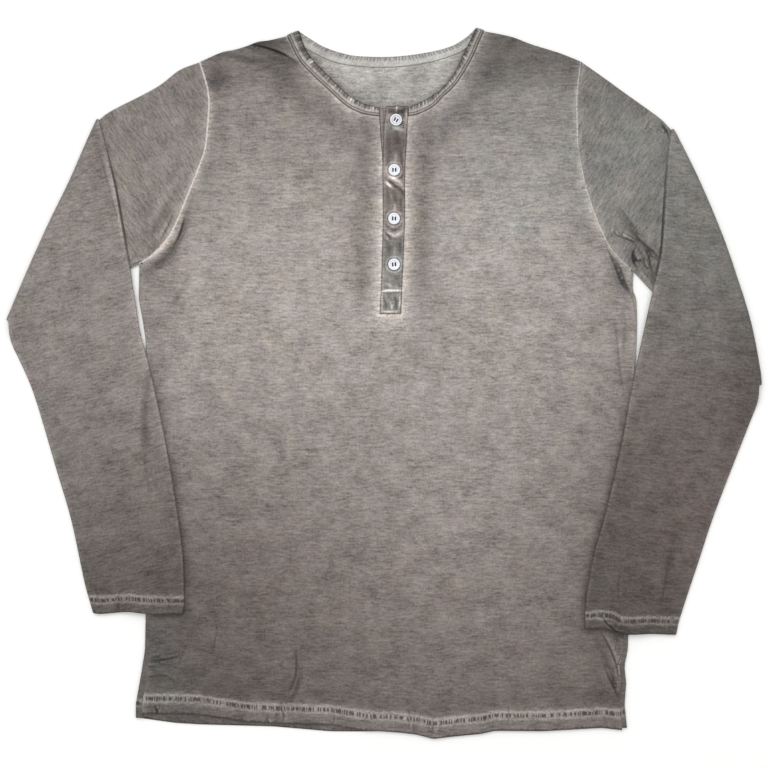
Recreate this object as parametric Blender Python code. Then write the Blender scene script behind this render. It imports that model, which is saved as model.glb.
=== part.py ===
"""Long-sleeve henley shirt, laid flat on its back, each sleeve folded forward over itself.

Sizes are in millimetres, and in metres once a mesh is made. X runs across the shirt, Y from the
hem to the neck and Z up from the surface that it lies on. Left and right are the viewer's.
"""

import math
from collections import namedtuple

import bmesh
import bpy
from mathutils import Vector

MM = 0.001
MIDDLE = (-0.135, 0.53)  # the outline's middle, which comes to stand over the origin

# Cloth
WALL = 1.2  # one layer of slub jersey
GAP = 0.3  # between layers, and between pieces at a seam
HEM_DEPTH = 16.0
CUFF_DEPTH = 14.0
TURNED_EXTRA = 0.4  # how much a turned hem stands above the plain cloth
BACK_TURNED_EXTRA = 0.15  # all the room that the back's turned hem has under the front's
TURN_STEP = 1.0  # length of the slope up to a turned hem
NEAR = 0.03  # points closer than this are one
SHARP_ANGLE = 40.0  # edges that turn by more than this are drawn sharp

# Layers of the body and of a flattened sleeve
FRONT_Z = WALL + GAP
LAID_TOP = FRONT_Z + WALL
EDGE_RADIUS = LAID_TOP / 2
EDGE_INSIDE = GAP / 2
SECOND_Z = LAID_TOP + GAP  # what lies on two layers starts here
FOLD_Z = LAID_TOP + GAP / 2  # the height that a folded sleeve turns about
ROLL_SHARES = (1 / 3, 2 / 3, 1)  # the sections of a side edge's half turn

# Neck binding and placket
BINDING_WALL = 1.4
BINDING_FRONT_Z = BINDING_WALL + GAP
BINDING_FOLD_Z = BINDING_WALL + GAP / 2
GATHER_RISE = 0.45
SEAM_RISE = 0.3  # the share of a gather's rise at the seam
EDGE_RISE = 0.6  # and at the free edge
GATHER_SECTIONS = 3  # sections to each gather
SLOWER = 0.37  # a second row of gathers, this often, makes the first uneven
FRONT_GATHERS = 19  # to each side of the placket
BACK_GATHERS = 30
COVERED_SHARE = 0.11  # near a shoulder the binding lies on itself, so it is smooth there
CALM_SHARE = 0.1
BINDING_START = 1.7  # the right end stands off the slit's corner by this
PLACKET_Z = FRONT_Z + WALL + GAP

# Buttons, sewn through four holes
BUTTON_X = (12.2, 10.4, 10.1, 10.1)
BUTTON_Y = (279.3, 226.3, 174.7, 126.2)
BUTTON_SIDES = 20
BUTTON_PROFILE = (  # radius and height, from the middle underneath to the middle above
    (0, 0), (4.6, 0), (6.0, 0.7), (6.2, 1.4), (5.4, 2.2), (4.3, 1.9), (3.7, 1.3), (0, 1.2),
)  # fmt: skip
BUTTON_HOLE_RADIUS = 0.8
BUTTON_HOLE_OFFSET = 1.5
BUTTON_HOLE_DEPTH = 8.0  # the cutter's, well over the button's own thickness
HOLE_SIDES = 6

# How finely each edge is divided
BAND_ROWS = 2
SIDE_ROWS = 22
ARMHOLE_ROWS = 9
FRONT_CENTRE_ROWS = 17
SLIT_ROWS = 6
NECK_ROWS = 8
FRONT_COLUMNS = 17
SHOULDER_COLUMNS = 3
BACK_NECK_COLUMNS = 5
SLEEVE_ROWS = 6
UPPER_ROWS = 12
CURVE_STEPS = 12
ARC_ANGLES = (45, 90, 135)

Outline = namedtuple("Outline", "x y")
Station = namedtuple("Station", "inner outer")
Ridge = namedtuple("Ridge", "x1 y1 x2 y2 width rise")
Sleeve = namedtuple("Sleeve", "armhole top under fold inner outer cuff")

# Side edges of the body from the hem up, and how far the back rolls round to the front there
SIDE_Y = (-370, -340, -318, -300, -283, -240, -120, 0, 46, 67, 90, 99, 127)
LEFT_X = (-264, -264, -260, -257, -254.3, -253.3, -252.8, -252.8, -253.4, -256.6, -260.8, -260.6, -260.2)
LEFT_ROLL = (7.5, 7.0, 6.5, 6.0, 5.5, 5.0, 4.5, 4.0, 3.5, 3.2, 3.2, 3.2, 3.2)
RIGHT_X = (257.8, 254.9, 256.6, 254.6, 258.2, 259.6, 261.2, 265, 267.7, 268.2, 267.4, 263.4, 264.5)
RIGHT_ROLL = (5.5, 5.5, 5.5, 5.5, 5.0, 4.5, 4.0, 3.5, 3.2, 3.2, 3.2, 3.2, 3.2)
LEFT_UNDERARM_Y = 126.7
RIGHT_UNDERARM_Y = 119.2

# The hem, front and back
HEM_X = (-264, -223, -196, -146, -117, -58, -20, 7, 33, 52, 74, 102, 117, 169, 231, 258)
FRONT_HEM_Y = (
    -350.3, -350.3, -351.4, -358.8, -360.4, -362, -368.4, -369.4,
    -372.2, -377, -374.3, -371.6, -368.2, -368.4, -364.8, -367.9,
)  # fmt: skip
BACK_HEM_Y = (
    -354.6, -360.3, -362, -363.3, -364.1, -369.2, -369.4, -369.2,
    -370, -371, -370, -368, -366, -365.5, -364.5, -365.2,
)  # fmt: skip

# Shoulders, from the armhole to the neck
LEFT_SHOULDER = Outline(
    x=(-196.1, -172.3, -159.5, -146.8, -134.1, -121.4, -103.4),
    y=(340.9, 351.3, 353.8, 357.6, 362.3, 364.1, 368.4),
)
RIGHT_SHOULDER = Outline(x=(209.4, 186, 154, 136, 105.5), y=(340.9, 350.3, 360.3, 367.3, 373.7))

# Where the front and the back meet the binding, and the binding's free edge
LEFT_NECK_SEAM = Outline(
    x=(-5.8, -22.5, -39.6, -59.9, -72.6, -90.2, -103.4),
    y=(283.6, 286.1, 294, 312.1, 323.8, 342.5, 368.4),
)
RIGHT_NECK_SEAM = Outline(
    x=(24.3, 35.2, 51.8, 61.8, 71.3, 78.2, 92.1, 101.4, 105.5),
    y=(283.6, 285.6, 294, 304, 312.7, 320.7, 343.7, 364.5, 373.7),
)
LEFT_NECK_EDGE = Outline(
    x=(-5.8, -22.8, -37.6, -56.7, -81.1, -90.6), y=(292.6, 297.3, 305.8, 323.8, 350.3, 373.6)
)
RIGHT_NECK_EDGE = Outline(
    x=(26, 44.6, 62.8, 75.7, 85.7, 96.5), y=(293, 301.6, 314.5, 331.7, 352.8, 376.4)
)
BACK_NECK_SEAM = Outline(
    x=(-103.4, -84.3, -53.5, -22.8, 9, 44, 70.5, 84.3, 95.9, 105.5),
    y=(368.4, 355.6, 340.8, 335.9, 335.5, 339.7, 347.2, 353.5, 364.1, 373.7),
)
BACK_NECK_EDGE = Outline(
    x=(-90.6, -80, -63.1, -39.8, -22.8, 9, 44, 70.5, 86.4, 96.5),
    y=(373.6, 366.6, 356.8, 349.3, 347.2, 346.9, 351.1, 357.8, 367.1, 376.4),
)

# The slit in the front, and the two strips of the placket, from the bottom up
SLIT_Y = (82, 130, 174, 226, 268, 283.6)
SLIT_LEFT_X = (-1.8, -1.2, -0.6, -1.4, -4.6, -5.8)
SLIT_RIGHT_X = (15.6, 16.4, 19.2, 19.6, 22.0, 24.3)
UPPER_Y = (73.7, 99.1, 173.3, 226.3, 268.7, 294.2)
UPPER_LEFT_X = (-5.3, -3.7, -1.6, -2.1, -1.1, 1.6)
UPPER_RIGHT_X = (17.5, 18.6, 21.7, 21.7, 24.0, 25.5)
UNDER_TOP_Y = 292.4

# Armholes, from the shoulder to the underarm
LEFT_ARMHOLE = Outline(
    x=(-196.1, -189.2, -186.3, -187.6, -190.8, -198.2, -208.8, -226.3, -245.4, -260.2),
    y=(340.9, 319.1, 300.5, 274, 247.5, 226.3, 199.8, 160, 137.3, 126.7),
)
RIGHT_ARMHOLE = Outline(
    x=(209.4, 205.6, 205.6, 207.2, 211.5, 216.8, 225.2, 238, 247.5, 264.5),
    y=(340.9, 305.8, 279.3, 244.3, 216.8, 198.8, 174.4, 146.8, 134.1, 119.2),
)

# Each sleeve: its edges from the armhole to the fold, the fold, then its edges on to the cuff
LEFT_SLEEVE = Sleeve(
    armhole=LEFT_ARMHOLE,
    top=Outline(
        x=(-196.1, -217.8, -239, -262, -280.4, -296.3, -305.2),
        y=(340.9, 332.8, 317.3, 305, 296.3, 287.9, 281),
    ),
    under=Outline(x=(-260.2, -270.8, -401.4), y=(126.7, 121.4, 67.3)),
    fold=Outline(
        x=(-305.2, -313.4, -320.4, -335.2, -355, -379, -401.4),
        y=(281, 263.4, 247.5, 213.6, 173.3, 120.3, 67.3),
    ),
    inner=Outline(
        x=(
            -305.2, -288.9, -270.8, -268.6, -265.4, -262.8, -260.4,
            -255.4, -251.2, -233.2, -214.7, -212.5, -214.7,
        ),  # fmt: skip
        y=(281, 216.8, 121.4, 105.2, 88.5, 70.5, 55.7, 37.6, 22, -59.9, -175.4, -234.8, -244.3),
    ),
    outer=Outline(
        x=(-401.4, -398, -388.8, -378.1, -369.4, -348.8, -333, -318.2, -309.4),
        y=(67.3, 45.1, 24.9, 1.6, -22.8, -91.7, -144.7, -212.5, -243.3),
    ),
    cuff=Outline(
        x=(-214.7, -253.9, -270.8, -302.6, -309.4),
        y=(-244.3, -243.9, -242.2, -244.4, -243.3),
    ),
)
RIGHT_SLEEVE = Sleeve(
    armhole=RIGHT_ARMHOLE,
    top=Outline(
        x=(209.4, 232.7, 256, 284.6, 296.5, 306.6),
        y=(340.9, 325.3, 309.1, 289.6, 281, 270.5),
    ),
    under=Outline(x=(264.5, 285.7, 400.2), y=(119.2, 96.5, -1.6)),
    fold=Outline(
        x=(306.6, 310.8, 333.6, 357, 371.7, 388.5, 399.1, 400.2),
        y=(270.5, 263, 216.8, 161.7, 120.3, 66.2, 12.2, -1.6),
    ),
    inner=Outline(
        x=(306.6, 301.6, 297.3, 294.2, 280.4, 263.4, 250.7, 232.7, 222.1, 213.6, 212.5),
        y=(270.5, 235.9, 175.4, 136.2, 75.8, -1.6, -69.4, -144.7, -180.7, -229.5, -260.2),
    ),
    outer=Outline(
        x=(400.2, 397.1, 390.2, 369.1, 348.6, 333.6, 313.5, 309.5),
        y=(-1.6, -21.7, -39.2, -91.7, -144.7, -189.7, -249.6, -266.6),
    ),
    cuff=Outline(
        x=(212.5, 234.8, 246.5, 260.2, 280, 309.5),
        y=(-260.2, -259.7, -265.4, -266.2, -265.6, -266.6),
    ),
)

# Sections of a sleeve past its fold, as shares of its inner and its outer edge. They fan out from
# the end of the fold, because the fold runs across the sleeve at a slant
LOWER_STATIONS = (
    Station(0.08, 0.01),
    Station(0.16, 0.02),
    Station(0.235, 0.03),
    Station(0.30, 0.05),
    Station(0.33, 0.085),
    Station(0.36, 0.135),
    Station(0.405, 0.20),
    Station(0.47, 0.295),
    Station(0.55, 0.395),
    Station(0.635, 0.50),
    Station(0.72, 0.615),
    Station(0.81, 0.735),
    Station(0.885, 0.845),
)
COVER_MARGIN = 12.0  # a sleeve stays up this far past the edge of what it lies on
COVER_RAMP = 16.0  # and then comes down to the surface over this length

# Soft folds in the front: ridges from one point to another
FRONT_RIDGES = (
    Ridge(226, -297, 240, -330, 28, 2.2),
    Ridge(-97, -286, -104, -326, 36, 2.0),
    Ridge(28, -318, 36, -348, 30, 1.6),
    Ridge(-206, 92, -150, 40, 40, 1.8),
    Ridge(238, 112, 214, 60, 36, 2.0),
    Ridge(196, 96, 150, 30, 44, 1.6),
    Ridge(-150, 300, -118, 262, 40, 1.4),
    Ridge(172, 300, 150, 250, 44, 1.4),
    Ridge(-70, -90, -58, -190, 60, 1.2),
    Ridge(120, -60, 104, -170, 64, 1.3),
)
# The cloth bunched up where the right sleeve starts at the underarm
RIGHT_SLEEVE_RIDGES = (Ridge(258, 152, 272, 128, 40, 3.0),)
LEFT_SLEEVE_RIDGES = (Ridge(-232, 236, -256, 200, 40, 1.6),)

CLOTH = (0.262, 0.231, 0.212)
CLOTH_INSIDE = (0.35, 0.33, 0.31)
BUTTON = (0.80, 0.83, 0.86)


def smooth_curve(outline):
    """Many points on a smooth curve through an outline's points."""
    given = [Vector(point) for point in zip(outline.x, outline.y)]
    lengths = [(b - a).length for a, b in zip(given, given[1:])]
    slopes = [(given[1] - given[0]) / lengths[0]]
    for i in range(1, len(given) - 1):
        slopes.append((given[i + 1] - given[i - 1]) / (lengths[i - 1] + lengths[i]))
    slopes.append((given[-1] - given[-2]) / lengths[-1])
    curve = [given[0]]
    for i, length in enumerate(lengths):
        for step in range(1, CURVE_STEPS + 1):
            t = step / CURVE_STEPS
            rise = t * t * (3 - 2 * t)
            point = given[i].lerp(given[i + 1], rise)
            point += slopes[i] * length * t * (1 - t) ** 2
            point -= slopes[i + 1] * length * t * t * (1 - t)
            curve.append(point)
    return curve


def along(path, shares):
    """Points of a path at shares of its length."""
    lengths = [0.0]
    for a, b in zip(path, path[1:]):
        lengths.append(lengths[-1] + (b - a).length)
    points = []
    i = 0
    for share in shares:
        wanted = share * lengths[-1]
        while i < len(path) - 2 and lengths[i + 1] < wanted:
            i += 1
        step = lengths[i + 1] - lengths[i]
        points.append(path[i].lerp(path[i + 1], min(1.0, (wanted - lengths[i]) / step)))
    return points


def path_length(path):
    return sum((b - a).length for a, b in zip(path, path[1:]))


def even(path, steps):
    return along(path, [i / steps for i in range(steps + 1)])


def pinned(path, start, end):
    """The path moved so that it runs from start to end."""
    last = len(path) - 1
    moved = []
    for i, point in enumerate(path):
        moved.append(point + (start - path[0]) * (1 - i / last) + (end - path[-1]) * (i / last))
    return moved


def offset(path, distance):
    """The path moved sideways, to its left where distance is above 0."""
    moved = []
    for i, point in enumerate(path):
        before = (point - path[i - 1]).normalized() if i else (path[1] - point).normalized()
        after = (path[i + 1] - point).normalized() if i < len(path) - 1 else before
        normal = Vector((-before.y - after.y, before.x + after.x)).normalized()
        square = Vector((-after.y, after.x))
        moved.append(point + normal * distance / max(0.5, normal.dot(square)))
    return moved


def interpolate(value, values, results):
    """Reads results at value, on straight lines between the table's rows."""
    if value <= values[0]:
        return results[0]
    for low, high, a, b in zip(values, values[1:], results, results[1:]):
        if value <= high:
            return a + (b - a) * (value - low) / (high - low)
    return results[-1]


def eased(value):
    value = min(1.0, max(0.0, value))
    return value * value * (3 - 2 * value)


def patch(low, high, first, last):
    """Rows of points between four edges. low and high run across, first and last run up."""
    rows = []
    total = path_length(first) + path_length(last)
    run = 0.0
    for i, (a, b) in enumerate(zip(first, last)):
        if i:
            run += (a - first[i - 1]).length + (b - last[i - 1]).length
        v = run / total
        row = []
        for j, (c, d) in enumerate(zip(low, high)):
            u = j / (len(low) - 1)
            corners = low[0].lerp(low[-1], u).lerp(high[0].lerp(high[-1], u), v)
            row.append(a.lerp(b, u) + c.lerp(d, v) - corners)
        rows.append(row)
    return rows


def ridge_height(ridges, x, y):
    """How far the ridges lift the cloth at a place."""
    rise = 0.0
    for ridge in ridges:
        start = Vector((ridge.x1, ridge.y1))
        run = Vector((ridge.x2, ridge.y2)) - start
        place = Vector((x, y)) - start
        share = min(1.0, max(0.0, place.dot(run) / run.length_squared))
        away = (place - run * share).length / (ridge.width / 2)
        rise += ridge.rise * (1 - eased(away))
    return rise


def hem_y(x, table):
    return interpolate(x, HEM_X, table)


def side_x(y, table):
    return interpolate(y, SIDE_Y, table)


def paint(name, colour, roughness):
    material = bpy.data.materials.new(name)
    material.use_nodes = True
    shader = material.node_tree.nodes["Principled BSDF"]
    shader.inputs["Base Color"].default_value = (*colour, 1)
    shader.inputs["Roughness"].default_value = roughness
    shader.inputs["Metallic"].default_value = 0
    return material


def finish(name, mesh, material):
    """Turns a bmesh in millimetres into a named object in metres."""
    bmesh.ops.recalc_face_normals(mesh, faces=mesh.faces)
    bmesh.ops.translate(mesh, vec=(-MIDDLE[0], -MIDDLE[1], 0), verts=mesh.verts)
    bmesh.ops.scale(mesh, vec=(MM, MM, MM), verts=mesh.verts)
    data = bpy.data.meshes.new(name)
    mesh.to_mesh(data)
    mesh.free()
    data.materials.append(material)
    data.shade_smooth()
    data.set_sharp_from_angle(angle=math.radians(SHARP_ANGLE))
    piece = bpy.data.objects.new(name, data)
    bpy.context.scene.collection.objects.link(piece)
    return piece


def add_panel(name, material, patches, place):
    """A wall cut to a plan. place gives a plan point its position at a side: 0 under, 1 above."""
    mesh = bmesh.new()
    for rows in patches:
        grid = [[mesh.verts.new((point.x, point.y, 0)) for point in row] for row in rows]
        for lower, upper in zip(grid, grid[1:]):
            for k in range(len(lower) - 1):
                mesh.faces.new((lower[k], lower[k + 1], upper[k + 1], upper[k]))
    bmesh.ops.remove_doubles(mesh, verts=mesh.verts, dist=NEAR)
    made = bmesh.ops.extrude_face_region(mesh, geom=mesh.faces[:], use_keep_orig=True)
    above = {item for item in made["geom"] if isinstance(item, bmesh.types.BMVert)}
    for vert in mesh.verts:
        vert.co = place(vert.co.x, vert.co.y, 1 if vert in above else 0)
    return finish(name, mesh, material)


def bridge(mesh, loops):
    """Faces between each ring of points and the next."""
    for a, b in zip(loops, loops[1:]):
        for k in range(len(a)):
            mesh.faces.new((a[k - 1], a[k], b[k], b[k - 1]))


def add_strip_solid(name, material, rings):
    """A solid strip through rings of points, closed at both ends."""
    mesh = bmesh.new()
    loops = [[mesh.verts.new(point) for point in ring] for ring in rings]
    bridge(mesh, loops)
    mesh.faces.new(loops[0])
    mesh.faces.new(loops[-1])
    return finish(name, mesh, material)


def body_side(table, roll, underarm_y, hem_table):
    """Points of a side edge from the hem to the underarm: where its roll bends, and its seam."""
    inwards = 1 if table[0] < 0 else -1
    start = hem_y(table[0], FRONT_HEM_Y) + HEM_DEPTH + TURN_STEP
    heights = [hem_y(table[0], hem_table), start - TURN_STEP]
    heights += [start + (underarm_y - GAP - start) * i / SIDE_ROWS for i in range(SIDE_ROWS + 1)]
    bend = [Vector((side_x(y, table) + inwards * EDGE_RADIUS, y)) for y in heights]
    seam = [Vector((side_x(y, table) + inwards * side_x(y, roll), y)) for y in heights]
    return bend, seam


def hem_path(x_from, x_to, table, steps):
    places = [x_from + (x_to - x_from) * i / steps for i in range(steps + 1)]
    return [Vector((x, hem_y(x, table))) for x in places]


def armhole_path(outline):
    return even(smooth_curve(outline), ARMHOLE_ROWS)


def slit_edges():
    """The slit's left and right edges, from its lower end to the neck."""
    edges = []
    for table in (SLIT_LEFT_X, SLIT_RIGHT_X):
        edges.append(even([Vector(point) for point in zip(table, SLIT_Y)], SLIT_ROWS))
    return edges


def front_lift(x, y):
    return ridge_height(FRONT_RIDGES, x, y)


def add_front(material):
    """The front: a patch to each side of the slit, and one below it."""

    def place(x, y, above):
        lift = front_lift(x, y)
        in_hem = y < hem_y(x, FRONT_HEM_Y) + HEM_DEPTH + TURN_STEP / 2
        return Vector((x, y, FRONT_Z + lift + above * (WALL + (TURNED_EXTRA if in_hem else 0.0))))

    def inner_edge(slit, neck_seam):
        low = hem_y(slit[0].x, FRONT_HEM_Y)
        start = low + HEM_DEPTH + TURN_STEP
        rise = slit[0].y - start
        heights = [low, low + HEM_DEPTH]
        heights += [start + rise * i / FRONT_CENTRE_ROWS for i in range(FRONT_CENTRE_ROWS + 1)]
        points = [Vector((slit[0].x, y)) for y in heights]
        return points + slit[1:] + even(smooth_curve(neck_seam), NECK_ROWS)[1:]

    left_slit, right_slit = slit_edges()
    left_inner = inner_edge(left_slit, LEFT_NECK_SEAM)
    right_inner = inner_edge(right_slit, RIGHT_NECK_SEAM)
    _, left_seam = body_side(LEFT_X, LEFT_ROLL, LEFT_UNDERARM_Y, FRONT_HEM_Y)
    _, right_seam = body_side(RIGHT_X, RIGHT_ROLL, RIGHT_UNDERARM_Y, FRONT_HEM_Y)
    left_outer = [point + Vector((GAP, 0)) for point in left_seam]
    left_outer += armhole_path(LEFT_ARMHOLE)[-2::-1]
    right_outer = [point - Vector((GAP, 0)) for point in right_seam]
    right_outer += armhole_path(RIGHT_ARMHOLE)[-2::-1]
    left = patch(
        hem_path(left_outer[0].x, left_inner[0].x, FRONT_HEM_Y, FRONT_COLUMNS),
        even(smooth_curve(LEFT_SHOULDER), FRONT_COLUMNS),
        left_outer,
        left_inner,
    )
    right = patch(
        hem_path(right_inner[0].x, right_outer[0].x, FRONT_HEM_Y, FRONT_COLUMNS),
        even(smooth_curve(RIGHT_SHOULDER), FRONT_COLUMNS)[::-1],
        right_inner,
        right_outer,
    )
    rows_below_slit = BAND_ROWS + FRONT_CENTRE_ROWS + 1
    below = [(a, a.lerp(b, 0.5), b) for a, b in zip(left_inner, right_inner)][:rows_below_slit]
    return add_panel("front_panel", material, (left, right, below), place)


def add_back(material):
    """The back: flat where it rests, its side edges rolled up and over to meet the front."""
    left_bend, left_seam = body_side(LEFT_X, LEFT_ROLL, LEFT_UNDERARM_Y, BACK_HEM_Y)
    right_bend, right_seam = body_side(RIGHT_X, RIGHT_ROLL, RIGHT_UNDERARM_Y, BACK_HEM_Y)
    arc = math.pi * EDGE_RADIUS

    def unrolled(bend, seam, outwards):
        """Rows of plan points past a bend, laid out flat: the arc, then the strip to the seam."""
        rows = []
        for a, b in zip(bend, seam):
            reach = [arc * share for share in ROLL_SHARES] + [arc + abs(b.x - a.x)]
            rows.append([a] + [a + Vector((outwards * r, 0)) for r in reach])
        return rows if outwards > 0 else [row[::-1] for row in rows]

    def place(x, y, above):
        height = above * WALL
        for bend, outwards in ((left_bend, -1), (right_bend, 1)):
            if y > bend[-1].y + GAP / 2:
                continue
            edge = interpolate(y, [p.y for p in bend], [p.x for p in bend])
            past = (x - edge) * outwards
            if past < NEAR:
                continue
            reach = EDGE_RADIUS - height
            if past >= arc - NEAR:
                return Vector((edge - outwards * (past - arc), y, EDGE_RADIUS + reach))
            turn = math.pi * past / arc
            across = edge + outwards * reach * math.sin(turn)
            return Vector((across, y, EDGE_RADIUS - reach * math.cos(turn)))
        in_hem = y < hem_y(x, BACK_HEM_Y) + HEM_DEPTH + TURN_STEP / 2
        return Vector((x, y, height + above * (BACK_TURNED_EXTRA if in_hem else 0.0)))

    rows = BAND_ROWS + SIDE_ROWS + ARMHOLE_ROWS
    columns = SHOULDER_COLUMNS + BACK_NECK_COLUMNS
    neck = even(smooth_curve(BACK_NECK_SEAM), 2 * BACK_NECK_COLUMNS)
    middle = neck[BACK_NECK_COLUMNS]
    low = hem_y(middle.x, BACK_HEM_Y)
    start = low + HEM_DEPTH + TURN_STEP
    heights = [low, low + HEM_DEPTH]
    heights += [start + (middle.y - start) * i / (rows - BAND_ROWS) for i in range(rows - 1)]
    centre = [Vector((middle.x, y)) for y in heights]
    left_outer = left_bend + armhole_path(LEFT_ARMHOLE)[-2::-1]
    right_outer = right_bend + armhole_path(RIGHT_ARMHOLE)[-2::-1]
    left_top = even(smooth_curve(LEFT_SHOULDER), SHOULDER_COLUMNS) + neck[1 : BACK_NECK_COLUMNS + 1]
    right_top = neck[BACK_NECK_COLUMNS:] + even(smooth_curve(RIGHT_SHOULDER), SHOULDER_COLUMNS)[-2::-1]
    patches = (
        patch(hem_path(left_outer[0].x, middle.x, BACK_HEM_Y, columns), left_top, left_outer, centre),
        patch(hem_path(middle.x, right_outer[0].x, BACK_HEM_Y, columns), right_top, centre, right_outer),
        unrolled(left_bend, left_seam, -1),
        unrolled(right_bend, right_seam, 1),
    )
    return add_panel("back_panel", material, patches, place)


def outside(path, point, outwards):
    """How far a point lies outside a path. outwards is 1 where outside is to the path's right."""
    best = None
    for a, b in zip(path, path[1:]):
        run = b - a
        share = min(1.0, max(0.0, (point - a).dot(run) / run.length_squared))
        away = (point - a - run * share).length
        if best is None or away < best[0]:
            turn = run.x * (point.y - a.y) - run.y * (point.x - a.x)
            best = (away, -away * outwards if turn > 0 else away * outwards)
    return best[1]


def sleeve_section():
    """One section round a flattened sleeve: (column, reach past the edge, height) out and in."""
    columns = list(range(ARMHOLE_ROWS + 1))
    outer = [(column, 0.0, 0.0) for column in columns]
    inner = [(column, 0.0, WALL) for column in columns]
    for angle in ARC_ANGLES:
        sine, cosine = math.sin(math.radians(angle)), math.cos(math.radians(angle))
        outer.append((ARMHOLE_ROWS, EDGE_RADIUS * sine, EDGE_RADIUS * (1 - cosine)))
        inner.append((ARMHOLE_ROWS, EDGE_INSIDE * sine, EDGE_RADIUS - EDGE_INSIDE * cosine))
    outer += [(column, 0.0, LAID_TOP) for column in columns[::-1]]
    inner += [(column, 0.0, FRONT_Z) for column in columns[::-1]]
    for angle in ARC_ANGLES[::-1]:
        sine, cosine = math.sin(math.radians(angle)), math.cos(math.radians(angle))
        outer.append((0, EDGE_RADIUS * sine, EDGE_RADIUS * (1 - cosine)))
        inner.append((0, EDGE_INSIDE * sine, EDGE_RADIUS - EDGE_INSIDE * cosine))
    return outer, inner


def add_sleeve(name, material, sleeve, side_table, underarm_y, ridges):
    """A flattened tube from the armhole out to the fold, then back over itself to the cuff."""
    hand = 1 if sleeve.fold.x[0] > 0 else -1
    armhole = offset(armhole_path(sleeve.armhole), hand * GAP)
    fold = offset(even(smooth_curve(sleeve.fold), ARMHOLE_ROWS), -hand * FOLD_Z)
    outwards = []
    for i in range(len(fold)):
        run = (fold[min(i + 1, len(fold) - 1)] - fold[max(i - 1, 0)]).normalized()
        outwards.append(Vector((-run.y, run.x)) * hand)
    under = even(smooth_curve(sleeve.under), SLEEVE_ROWS)
    top = even(smooth_curve(sleeve.top), SLEEVE_ROWS)
    first, last = pinned(top, armhole[0], fold[0]), pinned(under, armhole[-1], fold[-1])
    upper_rows = patch(armhole, fold, first, last)
    cuff = even(smooth_curve(sleeve.cuff), ARMHOLE_ROWS)
    inner_curve, outer_curve = smooth_curve(sleeve.inner), smooth_curve(sleeve.outer)
    band = CUFF_DEPTH / path_length(inner_curve), CUFF_DEPTH / path_length(outer_curve)
    slope = (1 + TURN_STEP / CUFF_DEPTH) * band[0], (1 + TURN_STEP / CUFF_DEPTH) * band[1]
    stations = [Station(0, 0), *LOWER_STATIONS, Station(1 - slope[0], 1 - slope[1])]
    stations += [Station(1 - band[0], 1 - band[1]), Station(1, 1)]
    inner = pinned(along(inner_curve, [s.inner for s in stations]), fold[0], cuff[0])
    outer = pinned(along(outer_curve, [s.outer for s in stations]), fold[-1], cuff[-1])
    lower_rows = patch(fold, cuff, inner, outer)

    side = [Vector((side_x(y, side_table), y)) for y in SIDE_Y[:-1]]
    side.append(Vector((side_x(underarm_y, side_table), underarm_y)))
    under_edge = [armhole[-1]] + smooth_curve(sleeve.under)[CURVE_STEPS:]

    def cover(point):
        """1 where the sleeve lies on two layers, 0 where it lies on the surface."""
        away = min(outside(side, point, hand), outside(under_edge, point, hand))
        return 1 - eased((away - COVER_MARGIN) / COVER_RAMP)

    section_out, section_in = sleeve_section()

    def ring_points(row, turn, lower, turned, section):
        points = []
        sine, cosine = math.sin(turn), math.cos(turn)
        for column, reach, height in section:
            plan = row[column].copy()
            if column in (0, ARMHOLE_ROWS):
                neighbour = row[1] if column == 0 else row[-2]
                out = (plan - neighbour).normalized()
                plan += out * (reach - EDGE_RADIUS)
            if turned and height == 0.0 and section is section_out:
                height = -TURNED_EXTRA
            plan += outwards[column] * (FOLD_Z - height) * sine
            z = FOLD_Z - (FOLD_Z - height) * cosine
            if lower:
                z -= SECOND_Z * (1 - cover(plan))
            elif height > EDGE_RADIUS and turn == 0:
                z += ridge_height(ridges, plan.x, plan.y)
            points.append((plan.x, plan.y, z))
        return points

    rings = [(row, 0.0, False, False) for row in upper_rows]
    rings += [(fold, math.radians(angle), False, False) for angle in ARC_ANGLES]
    rings += [(row, math.pi, True, i >= len(lower_rows) - 2) for i, row in enumerate(lower_rows)]
    outside_loops = [ring_points(*ring, section_out) for ring in rings]
    inside_loops = [ring_points(*ring, section_in) for ring in rings]

    mesh = bmesh.new()
    outer_verts = [[mesh.verts.new(point) for point in loop] for loop in outside_loops]
    inner_verts = [[mesh.verts.new(point) for point in loop] for loop in inside_loops]
    bridge(mesh, [inner_verts[0], *outer_verts, inner_verts[-1]])
    bridge(mesh, inner_verts)
    return finish(name, mesh, material)


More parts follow.
